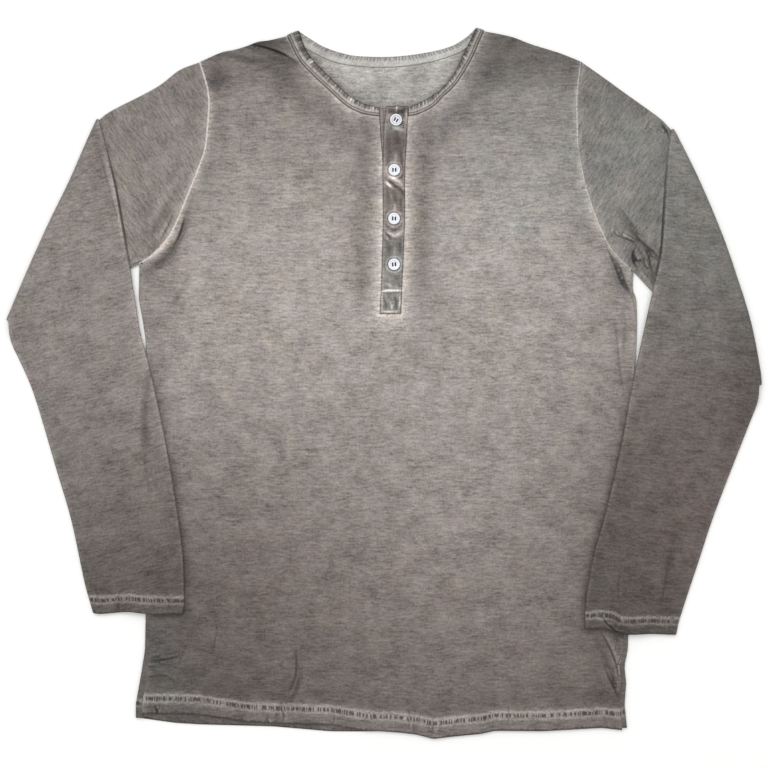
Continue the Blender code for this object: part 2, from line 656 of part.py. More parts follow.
def add_binding(material):
    """The neck binding: along the front, over at the shoulder, round the back and over again."""

    def gather(share, count):
        """An uneven row of gathers, between 0 and 1."""
        turns = math.tau * count * share
        return 0.5 + (math.sin(turns) + 0.5 * math.sin(turns * SLOWER + 1)) / 3

    def section(seam, edge, low, rise):
        middle = seam.lerp(edge, 0.5)
        top = low + BINDING_WALL
        return (
            (seam.x, seam.y, low),
            (seam.x, seam.y, top + rise * SEAM_RISE),
            (middle.x, middle.y, top + rise),
            (edge.x, edge.y, top + rise * EDGE_RISE),
            (edge.x, edge.y, low),
            (middle.x, middle.y, low),
        )

    def stretch(seam_path, edge_path, steps, gathers, low):
        """Sections from one end to the other. Gathers die away towards a fold."""
        shares = [i / steps for i in range(steps + 1)]
        rings = []
        for share, seam, edge in zip(shares, along(seam_path, shares), along(edge_path, shares)):
            to_fold = min(1 - share, share) if low == 0 else 1 - share
            calm = eased((to_fold - COVERED_SHARE) / CALM_SHARE)
            lift = front_lift(seam.x, seam.y) * calm if low else 0.0
            rise = GATHER_RISE * gather(share, gathers) * calm
            rings.append(section(seam, edge, low + lift, rise))
        return rings

    def turn_over(seam, edge, angles):
        """The strip turning about the line from seam to edge, at a shoulder."""
        run = (edge - seam).normalized()
        out = Vector((-run.y, run.x)) if run.x > 0 else Vector((run.y, -run.x))
        rings = []
        for angle in angles:
            sine, cosine = math.sin(math.radians(angle)), math.cos(math.radians(angle))
            ring = []
            for share, height in ((0, 0), (0, 1), (0.5, 1), (1, 1), (1, 0), (0.5, 0)):
                reach = BINDING_FOLD_Z - (1 - height) * BINDING_WALL
                plan = seam.lerp(edge, share) + out * reach * sine
                ring.append((plan.x, plan.y, BINDING_FOLD_Z + reach * cosine))
            rings.append(ring)
        return rings

    def seam_path(outline, steps, distance):
        """The seam as the panel has it, moved off the panel."""
        return offset(even(smooth_curve(outline), steps), distance)

    left_seam = seam_path(LEFT_NECK_SEAM, NECK_ROWS, -GAP)
    right_seam = seam_path(RIGHT_NECK_SEAM, NECK_ROWS, GAP)
    start = (right_seam[1] - right_seam[0]).normalized() * BINDING_START
    right_seam[0] = right_seam[0] + start
    back_seam = seam_path(BACK_NECK_SEAM, 2 * BACK_NECK_COLUMNS, GAP)
    left_fold = left_seam[-1]
    right_fold = right_seam[-1]
    back_seam = [left_fold] + back_seam[1:-1] + [right_fold]
    left_edge = smooth_curve(LEFT_NECK_EDGE)
    right_edge = smooth_curve(RIGHT_NECK_EDGE)
    back_edge = smooth_curve(BACK_NECK_EDGE)
    front_steps, back_steps = FRONT_GATHERS * GATHER_SECTIONS, BACK_GATHERS * GATHER_SECTIONS
    left = stretch(left_seam, left_edge, front_steps, FRONT_GATHERS, BINDING_FRONT_Z)
    back = stretch(back_seam, back_edge, back_steps, BACK_GATHERS, 0.0)
    right = stretch(right_seam, right_edge, front_steps, FRONT_GATHERS, BINDING_FRONT_Z)
    rings = left + turn_over(left_fold, left_edge[-1], ARC_ANGLES)
    rings += [turned_section(ring) for ring in back]
    rings += turn_over(right_fold, right_edge[-1], ARC_ANGLES[::-1]) + right[::-1]
    return add_strip_solid("neck_binding", material, rings)


def turned_section(ring):
    """A section whose upper side becomes its lower one, as on a strip that has turned over."""
    seam_low, seam_top, middle_top, edge_top, edge_low, middle_low = ring
    return seam_top, seam_low, middle_low, edge_low, edge_top, middle_top


def add_strip(name, material, left, right, low):
    """One strip of the placket, laid on the front's own form."""
    plan = [(a, a.lerp(b, 0.5), b) for a, b in zip(left, right)]

    def place(x, y, above):
        return Vector((x, y, low + front_lift(x, y) + above * WALL))

    return add_panel(name, material, (plan,), place)


def add_placket(jersey, inside):
    """The strip with the buttonholes on top, and the one with the buttons in the slit."""
    upper = []
    for table in (UPPER_LEFT_X, UPPER_RIGHT_X):
        upper.append(even([Vector(point) for point in zip(table, UPPER_Y)], UPPER_ROWS))
    add_strip("placket_upper", jersey, *upper, PLACKET_Z)
    under = []
    for edge, inwards in zip(slit_edges(), (GAP, -GAP)):
        moved = [point + Vector((inwards, 0)) for point in edge]
        moved[0].y += GAP
        under.append(moved + [Vector((moved[-1].x, UNDER_TOP_Y))])
    add_strip("placket_under", inside, *under, FRONT_Z)


def add_button(name, material, x, y):
    """A round button with a raised rim and a dished middle, turned from its profile."""
    base = PLACKET_Z + WALL + GAP + front_lift(x, y)
    mesh = bmesh.new()
    verts = [mesh.verts.new((radius, 0, height)) for radius, height in BUTTON_PROFILE]
    edges = [mesh.edges.new(pair) for pair in zip(verts, verts[1:])]
    bmesh.ops.spin(
        mesh,
        geom=verts + edges,
        cent=(0, 0, 0),
        axis=(0, 0, 1),
        angle=math.tau,
        steps=BUTTON_SIDES,
        use_merge=True,
    )
    bmesh.ops.remove_doubles(mesh, verts=mesh.verts, dist=NEAR)
    bmesh.ops.translate(mesh, vec=(x, y, base), verts=mesh.verts)
    button = finish(name, mesh, material)
    holes = bmesh.new()
    for across in (-1, 1):
        for up in (-1, 1):
            made = bmesh.ops.create_cone(
                holes,
                cap_ends=True,
                segments=HOLE_SIDES,
                radius1=BUTTON_HOLE_RADIUS,
                radius2=BUTTON_HOLE_RADIUS,
                depth=BUTTON_HOLE_DEPTH,
            )
            centre = Vector((x + across * BUTTON_HOLE_OFFSET, y + up * BUTTON_HOLE_OFFSET, base))
            bmesh.ops.translate(holes, vec=centre, verts=made["verts"])
    cutter = finish(name + "_holes", holes, material)
    cutter.hide_render = True
    cutter.display_type = "WIRE"
    cut = button.modifiers.new("thread holes", "BOOLEAN")
    cut.object = cutter
    cut.solver = "EXACT"
    return button


def main():
    for old in list(bpy.data.objects):
        bpy.data.objects.remove(old, do_unlink=True)
    jersey = paint("slub jersey", CLOTH, 0.92)
    inside = paint("slub jersey inside", CLOTH_INSIDE, 0.92)
    resin = paint("button resin", BUTTON, 0.32)
    add_back(inside)
    add_front(jersey)
    add_sleeve("sleeve_left", jersey, LEFT_SLEEVE, LEFT_X, LEFT_UNDERARM_Y, LEFT_SLEEVE_RIDGES)
    add_sleeve("sleeve_right", jersey, RIGHT_SLEEVE, RIGHT_X, RIGHT_UNDERARM_Y, RIGHT_SLEEVE_RIDGES)
    add_binding(jersey)
    add_placket(jersey, inside)
    for number, (x, y) in enumerate(zip(BUTTON_X, BUTTON_Y), start=1):
        add_button(f"button_{number}", resin, x, y)


main()
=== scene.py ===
import math

import bmesh
import bpy
import numpy as np
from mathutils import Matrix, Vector, noise


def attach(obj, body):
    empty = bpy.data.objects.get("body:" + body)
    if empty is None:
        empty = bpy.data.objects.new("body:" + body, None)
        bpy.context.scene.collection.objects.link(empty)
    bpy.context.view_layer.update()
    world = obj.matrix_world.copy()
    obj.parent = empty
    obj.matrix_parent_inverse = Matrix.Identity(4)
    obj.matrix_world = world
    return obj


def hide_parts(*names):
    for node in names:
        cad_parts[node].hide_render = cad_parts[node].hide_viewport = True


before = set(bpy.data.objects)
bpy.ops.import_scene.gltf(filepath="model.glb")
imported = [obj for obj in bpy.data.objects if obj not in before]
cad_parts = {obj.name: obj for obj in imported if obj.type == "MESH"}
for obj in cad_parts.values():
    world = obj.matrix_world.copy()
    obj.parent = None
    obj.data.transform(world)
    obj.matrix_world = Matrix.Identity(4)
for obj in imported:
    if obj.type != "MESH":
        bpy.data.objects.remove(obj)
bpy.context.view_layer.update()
mm = 0.001

laid = {
    "middle": (-0.135, 0.53),  # stands over the origin
    "layer": 1.2,  # height that one layer of cloth takes up
    "gap": 0.3,  # air between two layers
    "wall": 0.9,  # the cloth itself
    "hemDepth": 16.0,
    "cuffDepth": 14.0,
    "turned": 0.4,  # how much a turned hem stands up
    "finer": 7,  # steps to each of the frame's rows
}
frontLow = laid["layer"] + laid["gap"]
frontTop = frontLow + laid["layer"]
edgeRadius = frontTop / 2
secondLow = frontTop + laid["gap"]
rowLine = 100  # what a row attribute holds on its line, plus 1 for each mm beside it
rowReach = 60  # and how far from the line it still counts
foldHeight = frontTop + laid["gap"] / 2


def smoothCurve(points):
    given = np.array(points, float)
    runs = np.diff(given, axis=0)
    lengths = np.linalg.norm(runs, axis=1)
    between = (given[2:] - given[:-2]) / (lengths[:-1] + lengths[1:])[:, None]
    slopes = np.vstack([runs[:1] / lengths[0], between, runs[-1:] / lengths[-1]])
    t = np.linspace(0, 1, 13)[1:, None]
    rise = t * t * (3 - 2 * t)
    curve = [given[:1]]
    for i, length in enumerate(lengths):
        stretch = given[i] * (1 - rise) + given[i + 1] * rise
        stretch = stretch + slopes[i] * length * t * (1 - t) ** 2
        curve.append(stretch - slopes[i + 1] * length * t * t * (1 - t))
    return np.vstack(curve)


def lengthsOf(path):
    return np.concatenate([[0.0], np.cumsum(np.linalg.norm(np.diff(path, axis=0), axis=1))])


def along(path, shares):
    lengths = lengthsOf(path)
    wanted = np.asarray(shares) * lengths[-1]
    return np.column_stack([np.interp(wanted, lengths, path[:, k]) for k in range(path.shape[1])])


def even(path, steps):
    return along(path, np.linspace(0, 1, steps + 1))


def offsetPath(path, distance):
    # to the path's left where distance is above 0
    runs = np.diff(path, axis=0)
    runs /= np.linalg.norm(runs, axis=1)[:, None]
    before = np.vstack([runs[:1], runs])
    after = np.vstack([runs, runs[-1:]])
    normals = before + after
    normals = np.column_stack([-normals[:, 1], normals[:, 0]])
    normals /= np.linalg.norm(normals, axis=1)[:, None]
    square = np.column_stack([-after[:, 1], after[:, 0]])
    widening = np.maximum(0.5, (normals * square).sum(axis=1))
    return path + normals * (distance / widening)[:, None]


def pinned(path, start, end):
    share = np.linspace(0, 1, len(path))[:, None]
    return path + (start - path[0]) * (1 - share) + (end - path[-1]) * share


def patch(low, high, first, last):
    # rows of points between four edges: low and high run across, first and last run up
    v = lengthsOf(first) + lengthsOf(last)
    v = (v / v[-1])[:, None, None]
    u = np.linspace(0, 1, len(low))[None, :, None]
    bottom = low[0] * (1 - u) + low[-1] * u
    top = high[0] * (1 - u) + high[-1] * u
    sides = first[:, None] * (1 - u) + last[:, None] * u
    return sides + low[None] * (1 - v) + high[None] * v - bottom * (1 - v) - top * v


def eased(value):
    value = np.clip(value, 0, 1)
    return value * value * (3 - 2 * value)


def hump(away, width, centre=0.0):
    # 1 at the centre, falling off to both sides
    return np.exp(-(((away - centre) / width) ** 2))


def nearPath(points, path):
    # distance of each point to a path, its side (above 0 at the path's left) and its share along
    flat = points.reshape(-1, 2)
    lengths = lengthsOf(path)
    best = np.full(len(flat), 1e9)
    side = np.ones(len(flat))
    share = np.zeros(len(flat))
    for i in range(len(path) - 1):
        run = path[i + 1] - path[i]
        reach = flat - path[i]
        part = np.clip(reach @ run / (run @ run), 0, 1)
        away = np.linalg.norm(reach - part[:, None] * run, axis=1)
        nearer = away < best
        best[nearer] = away[nearer]
        turn = run[0] * reach[:, 1] - run[1] * reach[:, 0]
        side[nearer] = np.where(turn[nearer] > 0, 1.0, -1.0)
        share[nearer] = (lengths[i] + part[nearer] * (lengths[i + 1] - lengths[i])) / lengths[-1]
    shape = points.shape[:-1]
    return best.reshape(shape), side.reshape(shape), share.reshape(shape)


def cloudy(points, size, seed):
    # smooth unevenness between about -1 and 1
    flat = points.reshape(-1, 2) / size
    values = [noise.fractal((x, y, seed), 0.8, 2.0, 3) for x, y in flat]
    return np.array(values).reshape(points.shape[:-1])


def creased(points, creases):
    # height of creases, and their tone: painted highlight on each ridge and painted shade in the trough
    # beside it: (path, width, rise, side of the trough beside the ridge)
    height = np.zeros(points.shape[:-1])
    tone = np.zeros(points.shape[:-1])
    for path, width, rise, troughSide in creases:
        curve = smoothCurve(path)
        away, side, share = nearPath(points, curve)
        fade = np.sin(np.pi * np.clip(share, 0.04, 0.96)) ** 0.6
        signed = away * side
        ridge = hump(signed, width) * fade
        trough = hump(signed, 0.55 * width, troughSide * width * 1.1) * fade
        height += rise * (ridge - 0.7 * abs(troughSide) * trough)
        tone += np.sign(rise) * (0.35 * ridge - 1.0 * abs(troughSide) * trough) * min(1.0, abs(rise))
    return height, tone


def rowValue(away):
    # a signed distance as the material reads it: 100 on the line
    return rowLine + np.clip(away, -rowReach, rowReach)


def crispCreases(points, creases):
    # signed distance to the nearest crisp crease, and how strong it is: below 0 for a line of painted shade
    # with painted highlight beside it, above 0 for the reverse
    best = np.full(points.shape[:-1], 1e9)
    side = np.full(points.shape[:-1], float(rowReach))
    depth = np.zeros(points.shape[:-1])
    for path, strength in creases:
        away, turn, share = nearPath(points, smoothCurve(path))
        fade = np.sin(np.pi * share) ** 0.6 * eased((11 - away) / 5)
        nearer = away < best
        best = np.where(nearer, away, best)
        side = np.where(nearer, away * turn, side)
        depth = np.where(nearer, strength * fade, depth)
    return {"creaseSide": rowValue(side), "creaseDepth": depth}


# Outlines of the pieces, as the frame has them

outline = {
    "sideY": (-370, -340, -318, -300, -283, -240, -120, 0, 46, 67, 90, 99, 127),
    "leftX": (-264, -264, -260, -257, -254.3, -253.3, -252.8, -252.8, -253.4, -256.6, -260.8, -260.6, -260.2),
    "leftRoll": (7.5, 7.0, 6.5, 6.0, 5.5, 5.0, 4.5, 4.0, 3.5, 3.2, 3.2, 3.2, 3.2),
    "rightX": (257.8, 254.9, 256.6, 254.6, 258.2, 259.6, 261.2, 265, 267.7, 268.2, 267.4, 263.4, 264.5),
    "rightRoll": (5.5, 5.5, 5.5, 5.5, 5.0, 4.5, 4.0, 3.5, 3.2, 3.2, 3.2, 3.2, 3.2),
    "leftUnderarm": 126.7,
    "rightUnderarm": 119.2,
    "hemX": (-264, -223, -196, -146, -117, -58, -20, 7, 33, 52, 74, 102, 117, 169, 231, 258),
    "frontHem": (
        -350.3, -350.3, -351.4, -358.8, -360.4, -362, -368.4, -369.4,
        -372.2, -377, -374.3, -371.6, -368.2, -368.4, -364.8, -367.9,
    ),
    "backHem": (
        -354.6, -360.3, -362, -363.3, -364.1, -369.2, -369.4, -369.2,
        -370, -371, -370, -368, -366, -365.5, -364.5, -365.2,
    ),
    "leftShoulder": (
        (-196.1, 340.9), (-172.3, 351.3), (-159.5, 353.8), (-146.8, 357.6), (-134.1, 362.3),
        (-121.4, 364.1), (-103.4, 368.4),
    ),
    "rightShoulder": ((209.4, 340.9), (186, 350.3), (154, 360.3), (136, 367.3), (105.5, 373.7)),
    "leftNeckSeam": (
        (-5.8, 283.6), (-22.5, 286.1), (-39.6, 294), (-59.9, 312.1), (-72.6, 323.8), (-90.2, 342.5),
        (-103.4, 368.4),
    ),
    "rightNeckSeam": (
        (24.3, 283.6), (35.2, 285.6), (51.8, 294), (61.8, 304), (71.3, 312.7), (78.2, 320.7),
        (92.1, 343.7), (101.4, 364.5), (105.5, 373.7),
    ),
    "leftNeckEdge": (
        (-5.8, 292.6), (-22.8, 297.3), (-37.6, 305.8), (-56.7, 323.8), (-81.1, 350.3), (-90.6, 373.6),
    ),
    "rightNeckEdge": (
        (26, 293), (44.6, 301.6), (62.8, 314.5), (75.7, 331.7), (85.7, 352.8), (96.5, 376.4),
    ),
    "backNeckSeam": (
        (-103.4, 368.4), (-84.3, 355.6), (-53.5, 340.8), (-22.8, 335.9), (9, 335.5), (44, 339.7),
        (70.5, 347.2), (84.3, 353.5), (95.9, 364.1), (105.5, 373.7),
    ),
    "backNeckEdge": (
        (-90.6, 373.6), (-80, 366.6), (-63.1, 356.8), (-39.8, 349.3), (-22.8, 347.2), (9, 346.9),
        (44, 351.1), (70.5, 357.8), (86.4, 367.1), (96.5, 376.4),
    ),
    "slitLeft": ((-1.8, 82), (-1.2, 130), (-0.6, 174), (-1.4, 226), (-4.6, 268), (-5.8, 283.6)),
    "slitRight": ((15.6, 82), (16.4, 130), (19.2, 174), (19.6, 226), (22.0, 268), (24.3, 283.6)),
    "leftArmhole": (
        (-196.1, 340.9), (-189.2, 319.1), (-186.3, 300.5), (-187.6, 274), (-190.8, 247.5),
        (-198.2, 226.3), (-208.8, 199.8), (-226.3, 160), (-245.4, 137.3), (-260.2, 126.7),
    ),
    "rightArmhole": (
        (209.4, 340.9), (205.6, 305.8), (205.6, 279.3), (207.2, 244.3), (211.5, 216.8), (216.8, 198.8),
        (225.2, 174.4), (238, 146.8), (247.5, 134.1), (264.5, 119.2),
    ),
    "upperLeft": (
        (-5.3, 73.7), (-3.7, 99.1), (-1.6, 173.3), (-2.1, 226.3), (-1.1, 268.7), (1.6, 294.2),
    ),
    "upperRight": (
        (17.5, 73.7), (18.6, 99.1), (21.7, 173.3), (21.7, 226.3), (24.0, 268.7), (25.5, 294.2),
    ),
}  # fmt: skip

leftSleeve = {
    "armhole": "leftArmhole",
    "top": (
        (-196.1, 340.9), (-217.8, 332.8), (-239, 317.3), (-262, 305), (-280.4, 296.3), (-296.3, 287.9),
        (-305.2, 281),
    ),
    "under": ((-260.2, 126.7), (-270.8, 121.4), (-401.4, 67.3)),
    "fold": (
        (-305.2, 281), (-313.4, 263.4), (-320.4, 247.5), (-335.2, 213.6), (-355, 173.3), (-379, 120.3),
        (-401.4, 67.3),
    ),
    "inner": (
        (-305.2, 281), (-288.9, 216.8), (-270.8, 121.4), (-268.6, 105.2), (-265.4, 88.5),
        (-262.8, 70.5), (-260.4, 55.7), (-255.4, 37.6), (-251.2, 22), (-233.2, -59.9),
        (-214.7, -175.4), (-212.5, -234.8), (-214.7, -244.3),
    ),
    "outer": (
        (-401.4, 67.3), (-398, 45.1), (-388.8, 24.9), (-378.1, 1.6), (-369.4, -22.8), (-348.8, -91.7),
        (-333, -144.7), (-318.2, -212.5), (-309.4, -243.3),
    ),
    "cuff": (
        (-214.7, -244.3), (-253.9, -243.9), (-270.8, -242.2), (-302.6, -244.4), (-309.4, -243.3),
    ),
    "side": ("leftX", "leftUnderarm"),
    "hand": -1,
    # slope of the courses on the upper arm and on the forearm
    "courses": (-56, 13),
    "folds": (((-232, 236), (-256, 200), 40, 1.6),),
    "upperCreases": (
        (((-222, 214), (-246, 176), (-254, 158)), 6.0, 0.8, 1),
        (((-208, 236), (-226, 206)), 5.0, 0.5, -1),
    ),
    "lowerCreases": (
        (((-255, 20), (-262, -40), (-258, -90)), 7.0, 0.7, 1),
        (((-284, -215), (-290, -236)), 5.0, 0.6, 1),
        (((-243, -222), (-240, -240)), 3.0, 0.6, -1),
    ),
    # strength of the dye down the sleeve: height, strength
    "fall": (
        (-262, -1.02), (-235, -1.02), (-205, -0.92), (-150, -0.66), (-100, -0.50), (-50, -0.40),
        (0, -0.29), (60, -0.21), (140, -0.20), (220, -0.20), (300, -0.32), (340, -0.42),
    ),
    "washes": (
        (-270, 40, 30, 70, 0.12),
        (-395, 60, 26, 60, -0.10),
        (-215, 210, 24, 70, 0.08),
        (-225, -200, 20, 60, -0.10),
        (-300, 260, 60, 30, -0.04),
    ),
    "cool": ((-260, -190, 80, 110, -0.13),),
    # lines of painted shade (below 0) and painted highlight (above 0) along creases and edges: path, width,
    # strength
    "shadeAndHighlightLines": (
        (((-204, 226), (-206, 204), (-216, 184)), 4.0, 0.14),
        (((-217, 198), (-231, 178), (-243, 161)), 2.8, -0.30),
        (((-254, 136), (-243, 143), (-234, 152)), 4.5, -0.40),
        (((-268, -243), (-255, -244.5), (-238, -244.8)), 1.2, 0.60),
        (((-262, 30), (-258, -20), (-248, -70)), 4.5, -0.12),
        (((-306, 262), (-300, 220), (-286, 176)), 5.0, -0.16),
    ),
    # crisp creases, and the shadow of the forearm's edge on the upper arm, drawn as painted shade along the
    # line with painted highlight beside it, the reverse where above 0: path, strength
    "crisp": (
        (((-238, 152.1), (-230.6, 164.8), (-224.2, 179.7)), -0.44),
        (((-269.6, 120), (-277, 164), (-286.2, 214), (-296, 250)), -0.6),
        (((-221, 189.2), (-232.7, 205.1), (-240.1, 220)), -0.13),
        (((-248.6, 194.5), (-259.2, 214.7), (-265.5, 233.7)), -0.12),
        (((-268.7, 125.6), (-259.2, 128.8), (-250.7, 128.8)), -0.4),
        (((-305.8, 258.1), (-295.2, 220), (-284.6, 177.6)), -0.22),
        (((-307.9, -216.8), (-303.7, -225.2), (-305.8, -232.7)), -0.3),
        (((-280.4, -229.5), (-282.5, -235.9), (-281.4, -242.2)), -0.3),
        (((-256, -59.9), (-252.8, -91.7), (-247.5, -123.5)), -0.14),
        (((-231.6, -218.9), (-227.4, -229.5), (-229.5, -241.2)), -0.26),
        (((-291, -65.2), (-280.4, -72.6), (-267.7, -68.4)), -0.16),
    ),
}  # fmt: skip

rightSleeve = {
    "armhole": "rightArmhole",
    "top": (
        (209.4, 340.9), (232.7, 325.3), (256, 309.1), (284.6, 289.6), (296.5, 281), (306.6, 270.5),
    ),
    "under": ((264.5, 119.2), (285.7, 96.5), (400.2, -1.6)),
    "fold": (
        (306.6, 270.5), (310.8, 263), (333.6, 216.8), (357, 161.7), (371.7, 120.3), (388.5, 66.2),
        (399.1, 12.2), (400.2, -1.6),
    ),
    "inner": (
        (306.6, 270.5), (301.6, 235.9), (297.3, 175.4), (294.2, 136.2), (280.4, 75.8), (263.4, -1.6),
        (250.7, -69.4), (232.7, -144.7), (222.1, -180.7), (213.6, -229.5), (212.5, -260.2),
    ),
    "outer": (
        (400.2, -1.6), (397.1, -21.7), (390.2, -39.2), (369.1, -91.7), (348.6, -144.7),
        (333.6, -189.7), (313.5, -249.6), (309.5, -266.6),
    ),
    "cuff": (
        (212.5, -260.2), (234.8, -259.7), (246.5, -265.4), (260.2, -266.2), (280, -265.6),
        (309.5, -266.6),
    ),
    "side": ("rightX", "rightUnderarm"),
    "hand": 1,
    "courses": (60, -5),
    "folds": (((258, 152), (272, 128), 40, 2.4),),
    "upperCreases": (
        (((240, 156), (247.5, 164)), 2.4, 0.9, 1),
        (((247, 157), (268, 150), (276, 138), (281, 120)), 3.2, 1.4, -1),
        (((262, 137), (262, 130), (265, 123)), 2.4, 1.0, 1),
        (((268, 124), (270, 134), (275, 133)), 2.2, 0.8, -1),
        (((257, 180), (274, 158), (293, 142)), 6.0, 1.0, -1),
        (((289, 276), (297, 266), (304, 258)), 3.0, 0.8, 1),
        (((249, 175), (262, 160)), 5.0, 0.6, 1),
    ),
    "lowerCreases": (
        (((262, -14), (256, -60)), 6.0, 0.6, -1),
        (((236, -248), (252, -262)), 4.0, 1.0, 1),
        (((300, -150), (288, -225)), 8.0, 0.6, 1),
    ),
    # strength of the dye down the sleeve: height, strength
    "fall": (
        (-285, -1.20), (-250, -1.18), (-205, -1.10), (-150, -0.96), (-100, -0.86), (-50, -0.77),
        (0, -0.66), (60, -0.55), (140, -0.48), (200, -0.36), (270, -0.31), (340, -0.46),
    ),
    "washes": (
        (395, 0, 36, 90, -0.34),
        (240, 170, 30, 60, 0.22),
        (262, 250, 30, 40, 0.06),
        (270, 20, 30, 60, 0.10),
        (340, -200, 40, 80, 0.14),
        (240, 300, 40, 20, -0.10),
    ),
    "cool": (
        (270, 250, 120, 130, 0.26),
        (350, 110, 70, 90, 0.14),
        (330, -150, 110, 150, -0.22),
        (400, -20, 40, 60, -0.06),
    ),
    # lines of painted shade (below 0) and painted highlight (above 0) along creases and edges: path, width,
    # strength
    "shadeAndHighlightLines": (
        (((268, 156), (280, 140), (284, 120), (282, 108)), 4.5, -0.30),
        (((262, 142), (262, 130), (268, 118)), 4.0, -0.34),
        (((268, 116), (280, 104), (291, 95)), 3.0, 0.22),
        (((256, 182), (272, 162), (290, 146)), 5.0, -0.24),
        (((262, 176), (278, 160), (296, 150)), 4.0, 0.14),
        (((236, -246), (252, -260), (262, -266)), 4.0, -0.26),
        (((298, 270), (300, 240), (296, 200)), 5.0, -0.18),
    ),
    # crisp creases, and the shadow of the forearm's edge on the upper arm, drawn as painted shade along the
    # line with painted highlight beside it, the reverse where above 0: path, strength
    "crisp": (
        (((240.6, 155.3), (242.2, 159.5), (247.5, 163.1)), -0.62),
        (((282.6, 97), (292.6, 137), (295.8, 175), (300, 236)), -0.6),
        (((241.2, 159.5), (249.6, 155.9), (260.2, 151.7), (271.9, 146.8)), -0.62),
        (((259.2, 164.8), (267.4, 155.3), (277.2, 145.8), (285.7, 139.4), (293.1, 127.7)), -0.5),
        (((267.7, 145.8), (262.4, 137.3), (264.5, 126.7), (268.3, 122.4)), -0.8),
        (((264, 139.4), (266.6, 130.9), (271.9, 130.9), (274.6, 134.1)), -0.72),
        (((272.9, 145.8), (279.3, 136.2), (282.5, 123.5), (287.3, 112.9)), -0.62),
        (((274, 128.8), (278.2, 122.4), (283.6, 122.4)), -0.5),
        (((283.6, 122.4), (284.2, 114), (280.4, 107.6)), -0.34),
        (((270.8, 119.2), (278.2, 110.8), (285.2, 104.4)), 0.5),
        (((292, 277.2), (298.4, 268.7), (302.2, 258.1)), -0.62),
        (((289.9, 270.8), (296.3, 264.5)), -0.3),
        (((249.6, 187.1), (258.1, 174.4), (268.7, 160.6)), -0.22),
        (((226.3, -242.2), (234.8, -252.8), (245.4, -262.4), (258.1, -265.5)), -0.75),
        (((220, -247.5), (232.7, -250.7), (243.3, -257.1)), 0.6),
        (((239, -242.2), (241.2, -250.7), (249.6, -254.9)), -0.3),
        (((296.3, -248.6), (299.4, -257.1), (298.4, -265.5)), 0.35),
        (((301.6, -187.1), (296.3, -218.9), (292, -238)), -0.2),
        (((251.8, -187.1), (247.5, -212.5), (249.6, -235.9)), -0.18),
        (((323.8, 141.5), (340.8, 99.1), (351.4, 56.7)), -0.12),
    ),
}  # fmt: skip


def curveOf(name):
    return smoothCurve(outline[name])


def hemHeight(x, table):
    return np.interp(x, outline["hemX"], outline[table])


def finished(piece, materials, nodes=()):
    for material in materials:
        piece.data.materials.append(material)
    if nodes:
        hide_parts(*nodes)
    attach(piece, "root")
    return piece


# Making a sheet: a grid whose points are moved to their places

def addSheet(name, places, grain):
    deepDyeAndShadow, wide = places.shape[:2]
    bpy.ops.object.select_all(action="DESELECT")
    bpy.ops.mesh.primitive_grid_add(x_subdivisions=wide - 1, y_subdivisions=deepDyeAndShadow - 1, size=1)
    piece = bpy.context.object
    piece.name = piece.data.name = name
    mesh = piece.data
    moved = (places.reshape(-1, 3) - (*laid["middle"], 0)) * mm
    mesh.vertices.foreach_set("co", moved.ravel())
    corners = np.empty(len(mesh.loops), np.int32)
    mesh.loops.foreach_get("vertex_index", corners)
    mesh.uv_layers[0].name = "grain"
    mesh.uv_layers[0].data.foreach_set("uv", (grain.reshape(-1, 2)[corners] * mm).ravel())
    mesh.update()
    return piece


def setValues(piece, **values):
    for name, value in values.items():
        layer = piece.data.attributes.new(name, "FLOAT", "POINT")
        layer.data.foreach_set("value", np.ascontiguousarray(value, np.float32).ravel())


def selectOnly(piece):
    bpy.ops.object.select_all(action="DESELECT")
    piece.select_set(True)
    bpy.context.view_layer.objects.active = piece


def changeMesh(piece, change):
    mesh = bmesh.new()
    mesh.from_mesh(piece.data)
    change(mesh)
    mesh.to_mesh(piece.data)
    mesh.free()


def cutAway(piece, wide, isCut):
    # deletes the faces whose row and column isCut names
    def cut(mesh):
        faces = [f for f in mesh.faces if isCut(*divmod(min(v.index for v in f.verts), wide))]
        bmesh.ops.delete(mesh, geom=faces, context="FACES")

    changeMesh(piece, cut)


def weld(piece):
    def merge(mesh):
        bmesh.ops.remove_doubles(mesh, verts=mesh.verts, dist=0.001 * mm)

    changeMesh(piece, merge)


def flipFaces(piece):
    changeMesh(piece, lambda mesh: bmesh.ops.reverse_faces(mesh, faces=mesh.faces))


def turnOutwards(piece):
    # turns the whole sheet over where its highest level face looks down
    level = [face for face in piece.data.polygons if abs(face.normal.z) > 0.9]
    if max(level, key=lambda face: face.center.z).normal.z < 0:
        flipFaces(piece)


def giveWall(piece, thickness):
    wall = piece.modifiers.new("wall", "SOLIDIFY")
    wall.thickness = thickness * mm
    wall.offset = -1
    wall.material_offset = 1
    selectOnly(piece)
    bpy.ops.object.modifier_apply(modifier=wall.name)
    bpy.ops.object.shade_smooth_by_angle(angle=math.radians(55))


# Materials

def linear(code):
    channels = [int(code[i : i + 2], 16) / 255 for i in (1, 3, 5)]
    return [c / 12.92 if c <= 0.04045 else ((c + 0.055) / 1.055) ** 2.4 for c in channels] + [1.0]


def addNode(tree, kind, inputs=(), out=0, **settings):
    node = tree.nodes.new(kind)
    for key, value in settings.items():
        setattr(node, key, value)
    fillInputs(tree, node, dict(inputs))
    return node.outputs[out]


def fillInputs(tree, node, values):
    for key, value in values.items():
        if isinstance(value, bpy.types.NodeSocket):
            tree.links.new(value, node.inputs[key])
        else:
            node.inputs[key].default_value = value


def newMaterial(name):
    material = bpy.data.materials.new(name)
    material.use_nodes = True
    tree = material.node_tree
    return material, tree, tree.nodes["Principled BSDF"]


def addNoise(tree, vector, size, detail, **more):
    # size is the real size of a patch, in mm
    values = {"Vector": vector, "Scale": 1 / (size * mm), "Detail": detail, **more}
    return addNode(tree, "ShaderNodeTexNoise", values)


def mixed(tree, share, first, second):
    return addNode(tree, "ShaderNodeMix", {0: share, 6: first, 7: second}, out=2, data_type="RGBA")


